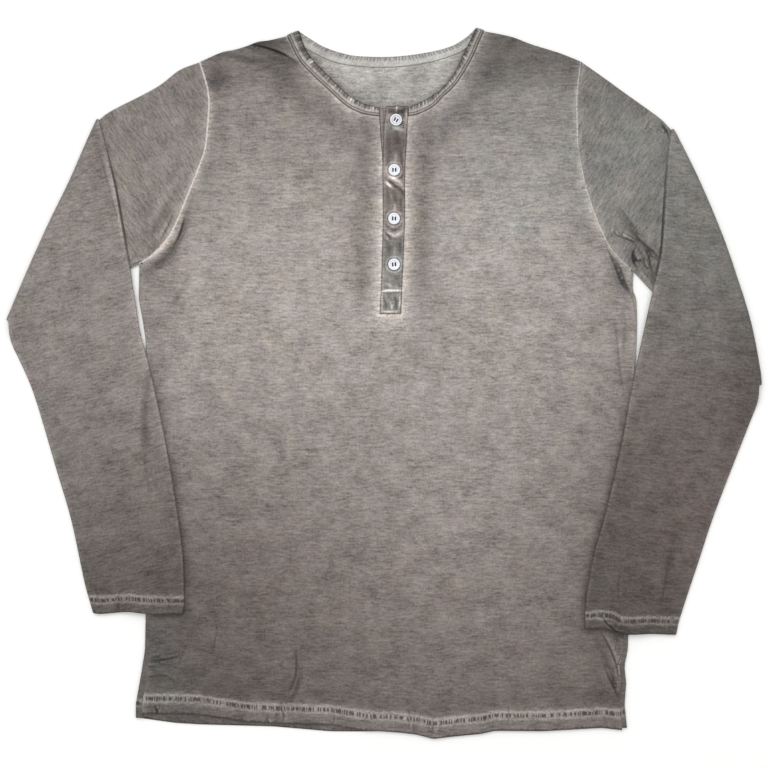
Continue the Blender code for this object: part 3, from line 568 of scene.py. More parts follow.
# Single cotton jersey from uneven slub yarn, pigment dyed as a finished garment and washed down:
# matt, with short darker slubs along each course and cloudy patches, pale where seams wore
jerseyLook = {
    "warm": "#9b8881",
    "cool": "#878d8a",
    "worn": "#e2dcd4",
    # the groove colour is painted shade, for puckers, stitching grooves and the turned hem's lower edge
    "groove": "#332d2a",
    "slub": (7.5, 2.3),  # length and width of a thick place in the yarn
    "streak": (24.0, 4.6),  # courses that took more dye
    "wale": (2.0, 9.0),
    "grain": 2.1,  # drawn coarser than the knit's 0.7 mm loops, which would not show
    "cloud": 24.0,
    "slubbing": 0.27,
    "streaking": 0.16,
    "waling": 0.06,
    "graining": 0.17,
    "clouding": 0.20,
    "tinting": 0.3,
    "mauving": 0.024,
    "tickSpacing": 3.8,  # puckers between two rows of stitching
    "bump": 0.3,
    "roughness": 0.92,
    "sheen": 0.06,
    # pale lines of worn cloth: attribute, centre, half width, strength
    "paleRows": (
        ("hemRow", 3.6, 1.7, 0.22), ("hemRow", -3.4, 1.4, 0.14), ("hemRow", 0.0, 2.4, 0.07),
        ("neckRow", 0.8, 0.8, 0.24), ("neckRow", -1.5, 0.5, 0.22), ("neckRow", -4.3, 1.5, 0.34),
        ("seamRow", 0.0, 0.8, 0.88),
    ),
}  # fmt: skip


def jersey(name, **changes):
    look = {**jerseyLook, **changes}
    material, tree, shader = newMaterial(name)
    weave = addNode(tree, "ShaderNodeUVMap", uv_map="grain")
    place = addNode(tree, "ShaderNodeTexCoord", out="Object")

    def calc(operation, *values, **settings):
        return addNode(tree, "ShaderNodeMath", enumerate(values), operation=operation, **settings)

    def attribute(which):
        return addNode(tree, "ShaderNodeAttribute", attribute_name=which, out="Fac")

    def ranged(value, low, high, to=(0.0, 1.0), **settings):
        limits = {"From Min": low, "From Max": high, "To Min": to[0], "To Max": to[1]}
        return addNode(tree, "ShaderNodeMapRange", {"Value": value, **limits}, **settings)

    def band(source, centre, half):
        # 1 along a line and 0 away from it
        away = calc("ABSOLUTE", calc("SUBTRACT", source, rowLine + centre))
        return ranged(away, half * 0.4, half * 1.6, (1.0, 0.0), interpolation_type="SMOOTHSTEP")

    # uneven yarn and cloudy dye, each a noise at its own real size
    sources = {}
    for key, wobble in (("slub", 0.5), ("streak", 0.9), ("wale", 0.2)):
        scale = (1 / (look[key][0] * mm), 1 / (look[key][1] * mm), 1)
        at = addNode(tree, "ShaderNodeVectorMath", {0: weave, 1: scale}, operation="MULTIPLY")
        values = {"Vector": at, "Scale": 1.0, "Detail": 3.0, "Roughness": 0.6, "Distortion": wobble}
        sources[key] = addNode(tree, "ShaderNodeTexNoise", values)
    sources["grain"] = addNoise(tree, weave, look["grain"], 2.0)
    sources["cloud"] = addNoise(tree, place, look["cloud"], 5.0, Roughness=0.6)
    uneven = 1.0
    amounts = ("slubbing", "streaking", "waling", "graining", "clouding")
    for source, amount in zip(("slub", "streak", "wale", "grain", "cloud"), amounts):
        part = ranged(sources[source], 0.3, 0.7, (-look[amount], look[amount]), clamp=False)
        uneven = calc("ADD", part, uneven)
    level = calc("MULTIPLY", calc("ADD", attribute("tone"), 1.0), uneven)

    # pale worn cloth beside the seams, ragged where the slubs run out of it
    ragged = calc("MULTIPLY_ADD", sources["slub"], 0.7, 0.65)
    ragged = calc("MULTIPLY", ragged, attribute("halo"))
    level = calc("MULTIPLY", level, calc("ADD", ragged, 1.0))

    # crisp creases: painted shade along a dark line, and painted highlight where the cloth turns up to the
    # light beside it
    creaseSide = attribute("creaseSide")
    beside = calc("MULTIPLY", band(creaseSide, 2.7, 1.5), -0.40)
    crease = calc("ADD", band(creaseSide, 0.0, 1.15), beside)
    crease = calc("MULTIPLY_ADD", crease, attribute("creaseDepth"), 1.0)
    level = calc("MULTIPLY", level, crease)

    # the dye leans to brown or to grey green in broad patches, and a little to mauve
    drift = addNoise(tree, place, look["cloud"] / 0.8, 4.0)
    drift = calc("MULTIPLY_ADD", drift, look["tinting"], -look["tinting"] / 2)
    cool = calc("ADD", attribute("cool"), drift, use_clamp=True)
    colour = mixed(tree, cool, linear(look["warm"]), linear(look["cool"]))
    mauve = addNoise(tree, place, look["cloud"] / 1.1, 2.0, Distortion=0.6)
    mauve = ranged(mauve, 0.35, 0.65, (1 - look["mauving"], 1 + look["mauving"]), clamp=False)
    mauve = addNode(tree, "ShaderNodeCombineXYZ", {0: 1.0, 1: 1.0, 2: mauve})
    colour = addNode(tree, "ShaderNodeVectorMath", {0: colour, 1: mauve}, operation="MULTIPLY")
    colour = addNode(tree, "ShaderNodeVectorMath", {0: colour, "Scale": level}, operation="SCALE")

    # rows of stitching: painted shade in uneven dark ticks where the cloth puckers, pale worn lines beside
    # them, and painted shade in the neck's stitching grooves and along the turned hem's and cuff's lower edge
    rows = {which: attribute(which) for which in ("hemRow", "neckRow", "seamRow")}
    wander = calc("MULTIPLY_ADD", sources["wale"], 5.0, -2.5)
    rows["hemRow"] = calc("ADD", rows["hemRow"], wander)
    sideways = addNode(tree, "ShaderNodeSeparateXYZ", {0: weave})
    at = calc("MULTIPLY", sideways, 1 / (look["tickSpacing"] * mm))
    values = {"W": at, "Scale": 0.35, "Detail": 1.0}
    drift = addNode(tree, "ShaderNodeTexNoise", values, noise_dimensions="1D")
    phase = calc("MULTIPLY_ADD", drift, 26.0, calc("MULTIPLY", at, 2 * math.pi))
    values = {"W": at, "Scale": 0.55, "Detail": 2.0}
    groups = addNode(tree, "ShaderNodeTexNoise", values, noise_dimensions="1D")
    ticks = calc("MULTIPLY_ADD", groups, 3.2, calc("SINE", phase))
    ticks = ranged(ticks, 1.2, 1.9, interpolation_type="SMOOTHSTEP")
    worn = 0.0
    for which, centre, half, amount in look["paleRows"]:
        worn = calc("MAXIMUM", calc("MULTIPLY", band(rows[which], centre, half), amount), worn)
    worn = calc("MULTIPLY", worn, ranged(sources["grain"], 0.35, 0.6, (0.35, 1.0)))
    colour = mixed(tree, worn, colour, linear(look["worn"]))
    shadedGrooves = calc("MULTIPLY", ticks, band(rows["hemRow"], 0.0, 2.0))
    lowerEdge = calc("MULTIPLY", band(rows["hemRow"], -15.6, 1.0), 0.85)
    shadedGrooves = calc("MAXIMUM", shadedGrooves, lowerEdge)
    neckGroove = calc("MAXIMUM", band(rows["neckRow"], -0.3, 0.7), band(rows["neckRow"], -2.7, 0.6))
    shadedGrooves = calc("MAXIMUM", shadedGrooves, calc("MULTIPLY", neckGroove, 0.75))
    colour = mixed(tree, calc("MULTIPLY", shadedGrooves, 0.78), colour, linear(look["groove"]))

    relief = calc("ADD", sources["slub"], sources["grain"])
    relief = calc("SUBTRACT", relief, shadedGrooves)
    relief = calc("MULTIPLY_ADD", crease, 1.5, relief)
    bump = {"Height": relief, "Strength": 1.0, "Distance": look["bump"] * mm}
    values = {"Base Color": colour, "Normal": addNode(tree, "ShaderNodeBump", bump)}
    values.update({"Roughness": look["roughness"], "Sheen Weight": look["sheen"]})
    values.update({"Sheen Roughness": 0.5, "Specular IOR Level": 0.2})
    fillInputs(tree, shader, values)
    return material


# Front: one sheet with a slit for the placket

front = {
    "columns": 75,  # to each side of the placket
    "slitColumns": 5,
    "underPlacket": (73, 9, 12),  # lowest height, middle and half width of what the placket covers
    # cloth worn pale along a line, and deeper dye beside it: line, strength, width, distance from it
    "halos": (("armholes", 0.36, 5, 0), ("hem", 0.85, 4.2, 1.5), ("sideSeams", 0.22, 3, 0)),
    "deeps": (("neck", 0.24, 12, 24), ("armholes", 0.10, 9, 14), ("hem", 0.10, 9, 17)),
    "ripple": 0.22,
    "rippleSize": 55.0,
    # soft folds: from, to, width, rise
    "folds": (
        ((226, -297), (240, -330), 28, 2.2),
        ((-97, -286), (-104, -326), 36, 2.0),
        ((28, -318), (36, -348), 30, 1.6),
        ((-206, 92), (-150, 40), 40, 1.8),
        ((238, 112), (214, 60), 36, 2.0),
        ((196, 96), (150, 30), 44, 1.6),
        ((-150, 300), (-118, 262), 40, 1.4),
        ((172, 300), (150, 250), 44, 1.4),
        ((-70, -90), (-58, -190), 60, 1.2),
        ((120, -60), (104, -170), 64, 1.3),
    ),
    # creases: path, width, rise, side of the trough
    "creases": (
        (((228, -264), (245, -308), (255, -336)), 5.0, 1.3, -1),
        (((235, -303), (244, -327)), 3.5, 0.8, 1),
        (((249.6, 68), (249.6, 25)), 4.0, 0.6, 1),
        (((243, -28), (251, -65)), 4.0, 0.6, 1),
        (((-251, -296), (-240, -294), (-226, -290)), 3.0, 0.8, 1),
        (((-246, -281), (-229, -275)), 3.0, 0.6, 1),
        (((-248, -306), (-232, -302)), 2.6, 0.5, -1),
        (((-95, -290), (-95, -314), (-103, -333), (-117, -339)), 4.0, 1.0, 1),
        (((-122, -345), (-124, -352), (-119, -360)), 3.2, 1.2, 1),
        (((-112, -342), (-108, -360)), 3.5, 0.9, -1),
        (((26, -350), (27, -372)), 3.2, 0.9, 1),
        (((50, -354), (53, -376)), 3.2, 0.8, -1),
        (((234, 150), (242, 115), (257, 88)), 5.0, 0.9, 1),
        (((244, 129), (252, 108), (263, 88)), 3.6, 0.8, 1),
        (((236, 60), (243, 0)), 6.0, 0.5, 1),
        (((-134, 357), (-112, 349), (-90, 341)), 5.0, 1.1, -1),
        (((-214, 112), (-232, 84)), 6.0, 0.7, 1),
    ),
    # broad lines of painted shade (below 0) and painted highlight (above 0) along creases, folds, armpits and
    # edges: path, width, strength
    "shadeAndHighlightLines": (
        (((-150, 360), (-128, 362), (-104, 358)), 6.0, -0.55),
        (((-148, 363.5), (-130, 358), (-112, 351), (-94, 340)), 3.0, -0.75),
        (((-212, 356), (-190, 352), (-168, 349), (-146, 344), (-118, 342)), 3.0, -0.62),
        (((-158, 366), (-140, 364), (-124, 360)), 3.0, 0.16),
        (((-134, 348), (-116, 343), (-98, 334)), 4.0, 0.12),
        (((-168, 352), (-150, 347), (-136, 340)), 7.0, -0.16),
        (((-150, 342), (-120, 336), (-92, 322)), 6.0, -0.16),
        (((-176, 322), (-184, 318), (-192, 322)), 6.0, -0.30),
        (((-240, 127), (-228, 139), (-218, 154), (-212, 170), (-208.5, 186)), 4.2, -0.85),
        (((-254, 121), (-240, 127), (-224, 136)), 6.0, -0.50),
        (((-208, 190), (-204, 196), (-203, 204)), 2.6, -0.30),
        (((-256, 130), (-244, 138.5), (-232, 149), (-224, 163)), 3.6, 0.42),
        (((-204, 180), (-190, 184), (-176, 181)), 3.0, -0.12),
        (((-257, -328), (-256.5, -340), (-256, -352)), 2.4, 0.50),
        (((228, -268), (238, -290), (243, -312)), 4.5, -0.20),
        (((240, -270), (248, -300), (250, -330)), 5.0, 0.26),
        (((-250, -296), (-238, -294), (-222, -288)), 4.0, -0.18),
        (((-226, -244), (-216, -262), (-214, -282)), 5.0, -0.16),
        (((-95, -286), (-94, -314), (-104, -332)), 5.0, -0.18),
        (((-88, -296), (-86, -316), (-92, -332)), 4.0, 0.16),
        (((-121, -344), (-121, -352), (-119, -360)), 3.4, 0.34),
        (((234, 148), (241, 118), (256, 90)), 5.0, -0.26),
        (((243, 140), (250, 112), (260, 88)), 4.0, -0.14),
        (((226, 150), (232, 124), (244, 96)), 4.5, 0.12),
        (((245, 66), (250, 30), (252, 12)), 4.0, -0.12),
    ),
    # crisp creases, drawn as painted shade along the line with painted highlight beside it, the reverse where
    # above 0: path, strength
    "crisp": (
        (((-146.8, 362), (-134.1, 358.3), (-119.2, 354), (-105.5, 348.2), (-90.6, 339.2)), -0.8),
        (((-160.6, 354.6), (-148.9, 357.8), (-136.2, 352.5)), -0.3),
        (((-189.2, 323.8), (-182.9, 320.7), (-176.5, 321.7)), -0.3),
        (((-224, 146), (-219, 154), (-214.5, 166), (-211.8, 178)), -0.7),
        (((233.5, 147.9), (239, 137.3), (244.3, 124.6), (252.6, 104.4), (262.4, 91.7)), -0.62),
        (((245.4, 130.9), (250.7, 120.3), (256, 104.4), (265.5, 85.3)), -0.55),
        (((243, 72), (247, 44), (249.6, 14.3), (254.9, -14)), -0.22),
        (((-249.6, -293.6), (-240.1, -293.5), (-229.5, -292), (-217.8, -289.4)), -0.6),
        (((-252.8, -299), (-247.5, -300.3), (-241.2, -299.9)), -0.5),
        (((-250.7, -311.6), (-240.1, -309.6), (-230.6, -311.1), (-222.1, -316.4)), -0.34),
        (((-247.5, -285.7), (-242.2, -283.6), (-238, -278.2)), -0.26),
        (((-93.8, -280.4), (-93.4, -297.3), (-94.9, -312.2), (-102.3, -330.2)), -0.44),
        (((-123.1, -347.2), (-124.6, -353.5), (-122.9, -360.9)), -0.55),
        (((-109.2, -335.5), (-109.7, -344), (-106.5, -352.5), (-109.7, -360.9)), -0.5),
        (((-117.1, -339.7), (-115, -347.2), (-119.2, -352.5)), 0.45),
        (((-127.7, -341.9), (-129.2, -348.2), (-127.7, -354.6)), -0.3),
        (((-244.3, -341.9), (-240.7, -348.2), (-243.3, -352.5)), -0.8),
        (((-240.1, -335.5), (-231.6, -337.6), (-225.2, -336.6)), 0.26),
        (((228.4, -262.4), (234.8, -272.9), (241.2, -285.7), (246.5, -301.6), (248.6, -318.5)), -0.55),
        (((232.7, -300.5), (238, -312.2), (244.3, -324.9), (249.6, -338.7)), -0.5),
        (((253.3, -265.5), (254.5, -293.1), (251.8, -318.5), (250.1, -341.9)), -0.42),
        (((24.9, -344), (26.4, -352.5), (24.9, -367.3)), -0.42),
        (((50.4, -352.5), (51.4, -360.9), (49.7, -373.7)), -0.45),
        (((54.6, -352.5), (56.3, -362), (54.6, -372.6)), 0.35),
        (((130.9, -341.9), (132, -350.3), (130.5, -363.1)), -0.3),
        (((-55.7, -341.9), (-53.5, -350.3), (-54.6, -363.1)), -0.24),
        (((-179, -257.1), (-177.6, -258.5)), -0.8),
        (((-177.6, -261.3), (-180.3, -274), (-181.8, -287.8)), -0.22),
        (((-206.2, -271.9), (-213.6, -284.6), (-218.9, -301.6)), -0.2),
        (((-145.8, 296.3), (-146.8, 277.2), (-143.6, 259.2)), -0.13),
        (((72.6, 281.4), (79, 270.8), (75.8, 257.1)), -0.15),
        (((192.4, 247.5), (189.2, 224.2), (192.4, 205.1)), -0.12),
    ),
    # the dye ran down to the hem and stayed at the shoulders: height, strength
    "fall": (
        (-375, -0.62), (-310, -0.56), (-250, -0.38), (-200, -0.28), (-150, -0.15), (-100, -0.03),
        (-50, 0.05), (0, 0.13), (60, 0.17), (120, 0.18), (170, 0.14), (220, 0.05), (270, -0.06),
        (310, -0.16), (335, -0.36), (360, -0.58),
    ),
    # broad lighter and darker patches: middle, half sizes, strength
    "washes": (
        (-225, -250, 165, 190, -0.44),
        (270, -130, 75, 200, -0.44),
        (280, -330, 70, 60, -0.12),
        (-266, 30, 36, 220, -0.30),
        (110, 175, 90, 80, 0.10),
        (-62, 110, 60, 90, 0.05),
        (-110, 330, 60, 26, -0.16),
        (-179, 324, 15, 15, -0.55),
        (150, 338, 70, 24, -0.26),
        (32, 120, 30, 120, -0.06),
        (8, 40, 30, 24, -0.03),
        (-232, 96, 26, 30, -0.14),
        (246, 84, 24, 26, -0.12),
        (242, 122, 24, 26, -0.17),
        (-130, 345, 40, 14, 0.08),
        (-22, 180, 14, 80, -0.07),
        (60, -170, 60, 90, 0.10),
        (-110, 60, 40, 60, 0.05),
        (-205, 190, 30, 60, -0.06),
        (-150, 262, 50, 40, -0.06),
    ),
    # patches that lean to grey green, or to brown where below 0
    "cool": (
        (180, 250, 150, 130, 0.15),
        (60, 100, 120, 110, 0.04),
        (-150, -230, 130, 110, -0.16),
        (40, -260, 120, 110, -0.08),
        (220, -300, 90, 140, -0.12),
        (-236, -292, 20, 60, 0.26),
        (34, 200, 14, 70, -0.12),
        (-30, 170, 14, 80, -0.10),
    ),
}  # fmt: skip


def freeOfSleeves(points):
    # 0 under a folded sleeve, 1 well away from it
    free = np.ones(points.shape[:-1])
    for sleeve in (leftSleeve, rightSleeve):
        inner = smoothCurve(sleeve["inner"])
        order = np.argsort(inner[:, 1])
        edge = np.interp(points[..., 1], inner[order, 1], inner[order, 0])
        away = (edge - points[..., 0]) * sleeve["hand"]
        below = inner[:, 1].min() - points[..., 1]
        above = points[..., 1] - sleeves["coverTop"]
        nearest = np.maximum(np.maximum(away, below), above)
        free *= eased((nearest - sleeves["pressed"]) / sleeves["pressedRamp"])
    return free


def frontLift(points):
    height, tone = creased(points, front["creases"])
    for start, end, width, rise in front["folds"]:
        away, _, _ = nearPath(points, np.array([start, end], float))
        height = height + rise * (1 - eased(away / (width / 2)))
    height = height + front["ripple"] * (1 + cloudy(points, front["rippleSize"], 3.7))
    return height * freeOfSleeves(points), tone


bandRows = 6  # rows in a turned hem


def rowHeights(low, start, end, steps):
    band = np.linspace(low, start - 1, bandRows + 1)
    return np.concatenate([band, np.linspace(start, end, steps + 1)])


def bodySide(side, hem, steps):
    # seam, bend and outline of a side from the hem to the underarm, for one panel
    xTable, rollTable = outline[side + "X"], outline[side + "Roll"]
    inwards = 1 if side == "left" else -1
    start = hemHeight(xTable[0], "frontHem") + laid["hemDepth"] + 1
    end = outline[side + "Underarm"] - laid["gap"]
    low = hemHeight(xTable[0], hem)
    heights = rowHeights(low, start, end, steps)
    edge = np.interp(heights, outline["sideY"], xTable)
    roll = np.interp(heights, outline["sideY"], rollTable)
    bend = np.column_stack([edge + inwards * edgeRadius, heights])
    seam = np.column_stack([edge + inwards * roll, heights])
    return bend, seam


def middleEdge(x, hem, top, steps):
    low = hemHeight(x, hem)
    start = low + laid["hemDepth"] + 1
    heights = rowHeights(low, start, top, steps)
    return np.column_stack([np.full(len(heights), x), heights])


def hemPath(start, end, hem, steps):
    x = np.linspace(start, end, steps + 1)
    return np.column_stack([x, hemHeight(x, hem)])


def distances(points, *names):
    return np.min([nearPath(points, curveOf(name))[0] for name in names], axis=0)


def washes(points, table):
    # broad lighter and darker patches: middle, half sizes, strength
    tone = np.zeros(points.shape[:-1])
    for x, y, wide, tall, strength in table:
        reach = ((points[..., 0] - x) / wide) ** 2 + ((points[..., 1] - y) / tall) ** 2
        tone += strength * np.exp(-reach)
    return tone


def shadeAndHighlightLines(points, lines):
    # painted shade and painted highlight along lines: path, width, strength, below 0 for shade
    tone = np.zeros(points.shape[:-1])
    for path, width, strength in lines:
        away, _, share = nearPath(points, smoothCurve(path))
        tone += strength * hump(away, width) * np.sin(np.pi * np.clip(share, 0.06, 0.94)) ** 0.5
    return tone


def dyedAndShaded(points, fall, table, lines=()):
    # how light the cloth is, as a logarithm: the dye's fall and washes, plus painted shade and painted
    # highlight along any lines given
    heights, depths = zip(*fall)
    return np.interp(points[..., 1], heights, depths) + washes(points, table) + shadeAndHighlightLines(points, lines)


def placketEdges():
    return np.array(outline["upperLeft"], float), np.array(outline["upperRight"], float)


def sleeveAway(points):
    # how far each place of the body lies from a folded sleeve's edge
    away = np.full(points.shape[:-1], 1e3)
    for sleeve in (leftSleeve, rightSleeve):
        for edge in ("inner", "cuff"):
            away = np.minimum(away, nearPath(points, smoothCurve(sleeve[edge]))[0])
    return away


def seamLines(points, away):
    # distance to the pale line on an armhole: one line at the left, two faint ones at the upper right
    apart = 1.6 * eased((points[..., 1] - 225) / 40) * (points[..., 0] > 0)
    return np.clip(np.abs(away - apart) + 0.45 * (points[..., 0] > 0), 0, rowReach)


def bodyAgingAndShade(points, tone):
    # how washed out or deep the front is, from what is sewn near each place, with painted shadow beside the
    # folded sleeves and painted shade and highlight from the creases
    armholes = distances(points, "leftArmhole", "rightArmhole")
    neck = distances(points, "leftNeckSeam", "rightNeckSeam")
    left, right = placketEdges()
    box = np.vstack([left[::-1], right])
    strip, _, _ = nearPath(points, box)
    low, middle, half = front["underPlacket"]
    onStrip = (points[..., 1] > low) & (np.abs(points[..., 0] - middle) < half)
    strip = np.where(onStrip, 0, strip)
    hem = points[..., 1] - hemHeight(points[..., 0], "frontHem") - laid["hemDepth"]
    sideSeams = np.minimum(
        nearPath(points, bodySide("left", "frontHem", 20)[1])[0],
        nearPath(points, bodySide("right", "frontHem", 20)[1])[0],
    )
    uneven = 1 + 0.45 * cloudy(points, 12.0, 41.0)
    halo = 0.42 * hump(strip, 3.6) + 0.44 * hump(strip, 10)
    halo = halo + 0.20 * washes(points, ((8, 62, 20, 16, 1.0),))
    free = 1 - 0.8 * washes(points, ((-112, 350, 34, 24, 1.0),))
    aroundNeck = 0.36 * hump(neck, 3.5, 1.5) + 0.24 * hump(neck, 10)
    halo = np.maximum(halo, aroundNeck * free)
    lines = {"armholes": armholes, "hem": hem, "neck": neck, "sideSeams": sideSeams}
    for line, strength, width, centre in front["halos"]:
        halo = np.maximum(halo, strength * hump(lines[line], width, centre))
    besidePlacket = eased((points[..., 1] - 50) / 60) * (1 + 0.2 * np.sin(points[..., 1] / 17))
    deepDyeAndShadow = 0.30 * hump(strip, 11, 21) * besidePlacket
    for line, strength, width, centre in front["deeps"]:
        deepDyeAndShadow = np.maximum(deepDyeAndShadow, strength * hump(lines[line], width, centre))
    # painted shadow on the body along the folded sleeves' edges and cuffs
    away = sleeveAway(points)
    deepDyeAndShadow = deepDyeAndShadow + 0.40 * hump(away, 5) + 0.10 * hump(away, 16)
    band = 0.16 * eased((-hem - 1) / 4)
    band = band + 0.22 * hump(hem, 2.0, -3.5)
    depth = dyedAndShaded(points, front["fall"], front["washes"], front["shadeAndHighlightLines"])
    # the creases' tone adds painted highlight on ridges and painted shade in troughs
    depth = depth + 0.5 * tone - deepDyeAndShadow * uneven + band
    return {
        "halo": halo * uneven,
        "tone": np.exp(depth) - 1,
        "cool": 0.47 + washes(points, front["cool"]) * (1 + 0.6 * cloudy(points, 30.0, 17.0)),
        "hemRow": rowValue(hem),
        "neckRow": rowValue(neck),
        "seamRow": rowLine + seamLines(points, armholes),
        **crispCreases(points, front["crisp"]),
    }


def addFront(outside, inside):
    finer = laid["finer"]
    leftSlit = even(np.array(outline["slitLeft"], float), 6 * finer)
    rightSlit = even(np.array(outline["slitRight"], float), 6 * finer)
    inner = []
    for slit, seam in ((leftSlit, "leftNeckSeam"), (rightSlit, "rightNeckSeam")):
        edge = middleEdge(slit[0, 0], "frontHem", slit[0, 1], 17 * finer)
        inner.append(np.vstack([edge, slit[1:], even(curveOf(seam), 8 * finer)[1:]]))
    outer = []
    for side in ("left", "right"):
        _, seam = bodySide(side, "frontHem", 22 * finer)
        outer.append(np.vstack([seam, even(curveOf(side + "Armhole"), 9 * finer)[-2::-1]]))
    columns = front["columns"]
    left = patch(
        hemPath(outer[0][0, 0], inner[0][0, 0], "frontHem", columns),
        even(curveOf("leftShoulder"), columns),
        outer[0],
        inner[0],
    )
    right = patch(
        hemPath(inner[1][0, 0], outer[1][0, 0], "frontHem", columns),
        even(curveOf("rightShoulder"), columns)[::-1],
        inner[1],
        outer[1],
    )
    across = np.linspace(0, 1, front["slitColumns"] + 1)[None, 1:-1, None]
    between = inner[0][:, None] * (1 - across) + inner[1][:, None] * across
    plan = np.concatenate([left, between, right], axis=1)
    lift, tone = frontLift(plan)
    fromHem = plan[..., 1] - hemHeight(plan[..., 0], "frontHem")
    band = laid["turned"] * (1 - eased((fromHem - laid["hemDepth"] + 0.5) / 1.5))
    height = frontTop + lift + band - 0.5 * (1 - eased(fromHem / 2.6))
    piece = addSheet("frontPanel", np.dstack([plan, height]), plan)
    setValues(piece, **bodyAgingAndShade(plan, tone))
    slitRow = bandRows + 1 + 17 * finer
    slitFrom, slitTo = columns, columns + front["slitColumns"]
    cutAway(piece, plan.shape[1], lambda row, column: row >= slitRow and slitFrom <= column < slitTo)
    giveWall(piece, laid["wall"])
    finished(piece, (outside, inside), ("front_panel",))
    print("front panel made")
    return piece


# Back: flat where it rests, its side edges rolled up and over to meet the front

back = {
    "finer": 4,
    "rollSteps": 8,
    "insideWashes": (
        (-20, 300, 34, 16, -0.16),
        (32, 322, 10, 26, -0.16),
        (-46, 314, 12, 22, -0.12),
        (-4, 316, 8, 18, -0.08),
        (60, 326, 28, 22, -0.05),
        (-62, 334, 22, 16, 0.10),
        (-80, 345, 20, 12, -0.20),
        (84, 345, 16, 12, -0.20),
    ),
}


def addBack(outside, inside):
    finer = back["finer"]
    sides = {side: bodySide(side, "backHem", 22 * finer) for side in ("left", "right")}
    outer = {}
    for side, (bend, _) in sides.items():
        outer[side] = np.vstack([bend, even(curveOf(side + "Armhole"), 9 * finer)[-2::-1]])
    shoulderColumns, neckColumns = 3 * finer, 5 * finer
    columns = shoulderColumns + neckColumns
    neck = even(curveOf("backNeckSeam"), 2 * neckColumns)
    centre = middleEdge(neck[neckColumns, 0], "backHem", neck[neckColumns, 1], 31 * finer)
    leftTop = np.vstack([even(curveOf("leftShoulder"), shoulderColumns), neck[1 : neckColumns + 1]])
    rightTop = np.vstack([neck[neckColumns:], even(curveOf("rightShoulder"), shoulderColumns)[-2::-1]])
    leftHem = hemPath(outer["left"][0, 0], centre[0, 0], "backHem", columns)
    rightHem = hemPath(centre[0, 0], outer["right"][0, 0], "backHem", columns)
    left = patch(leftHem, leftTop, outer["left"], centre)
    right = patch(rightHem, rightTop, centre, outer["right"])
    plan = np.concatenate([left, right[:, 1:]], axis=1)
    places = np.dstack([plan, np.zeros(plan.shape[:2])])
    grain = plan.copy()
    steps = back["rollSteps"]
    bodyRows = len(sides["left"][0])
    for side, outwards in (("left", -1), ("right", 1)):
        bend, seam = sides[side]
        full = np.vstack([bend, np.repeat(bend[-1:], len(plan) - bodyRows, axis=0)])
        strip = np.abs(np.interp(full[:, 1], seam[:, 1], seam[:, 0]) - full[:, 0])
        columnsOut, grainOut = [], []
        for step in range(1, steps + 2):
            turn = math.pi * min(step, steps) / steps
            reach = outwards * edgeRadius * math.sin(turn)
            x = full[:, 0] + (reach if step <= steps else -outwards * strip)
            z = np.full(len(full), edgeRadius * (1 - math.cos(turn)))
            columnsOut.append(np.column_stack([x, full[:, 1], z]))
            out = edgeRadius * turn + (strip if step > steps else 0)
            grainOut.append(np.column_stack([full[:, 0] + outwards * out, full[:, 1]]))
        rolled, flat = np.stack(columnsOut, axis=1), np.stack(grainOut, axis=1)
        if outwards < 0:
            places = np.concatenate([rolled[:, ::-1], places], axis=1)
            grain = np.concatenate([flat[:, ::-1], grain], axis=1)
        else:
            places = np.concatenate([places, rolled], axis=1)
            grain = np.concatenate([grain, flat], axis=1)
    piece = addSheet("backPanel", places, grain)
    points = places[..., :2]
    hem = points[..., 1] - hemHeight(points[..., 0], "backHem") - laid["hemDepth"]
    neckAway = distances(points, "backNeckSeam")
    inner = eased((points[..., 1] - 240) / 30)
    insideDepth = 0.36 + washes(points, back["insideWashes"])
    # painted shadow that the front's neck edges cast on the inside of the back, stronger at the left
    insideDepth = insideDepth - 0.50 * hump(distances(points, "leftNeckEdge"), 4.5)
    insideDepth = insideDepth - 0.45 * hump(distances(points, "rightNeckEdge"), 2.5)
    depth = dyedAndShaded(points, front["fall"], front["washes"]) * (1 - inner) + insideDepth * inner
    setValues(
        piece,
        halo=np.maximum(0.15 * hump(neckAway, 6), 0.3 * hump(hem, 5)),
        tone=np.exp(depth) - 1,
        cool=0.47 + 0.18 * inner,
        hemRow=rowValue(hem),
    )
    rolls = steps + 1
    wide = places.shape[1]
    cutAway(
        piece, wide, lambda row, column: row >= bodyRows - 1 and not rolls <= column < wide - 1 - rolls
    )
    flipFaces(piece)
    giveWall(piece, laid["wall"])
    finished(piece, (outside, inside), ("back_panel",))
    print("back panel made")
    return piece


# Sleeves: flattened tubes, folded forward over themselves and down onto the body

sleeves = {
    "columns": 50,
    "evenings": 60,
    "arcSteps": 6,
    "upperRows": 54,
    "rowsPerStation": 9,
    # sections past the fold, as shares of the inner and the outer edge, fanned out from the fold's end
    "innerShares": (0, 0.08, 0.16, 0.235, 0.30, 0.33, 0.36, 0.405, 0.47, 0.55, 0.635, 0.72, 0.81, 0.885),
    "outerShares": (0, 0.01, 0.02, 0.03, 0.05, 0.085, 0.135, 0.20, 0.295, 0.395, 0.50, 0.615, 0.735, 0.845),
    "coverTop": 118,  # above this height no sleeve lies on the body
    "pressed": 3,  # how far past a sleeve's edge the body is still pressed flat
    "pressedRamp": 22,
    "coverMargin": 12.0,
    "coverRamp": 16.0,
    "ripple": 0.30,
}


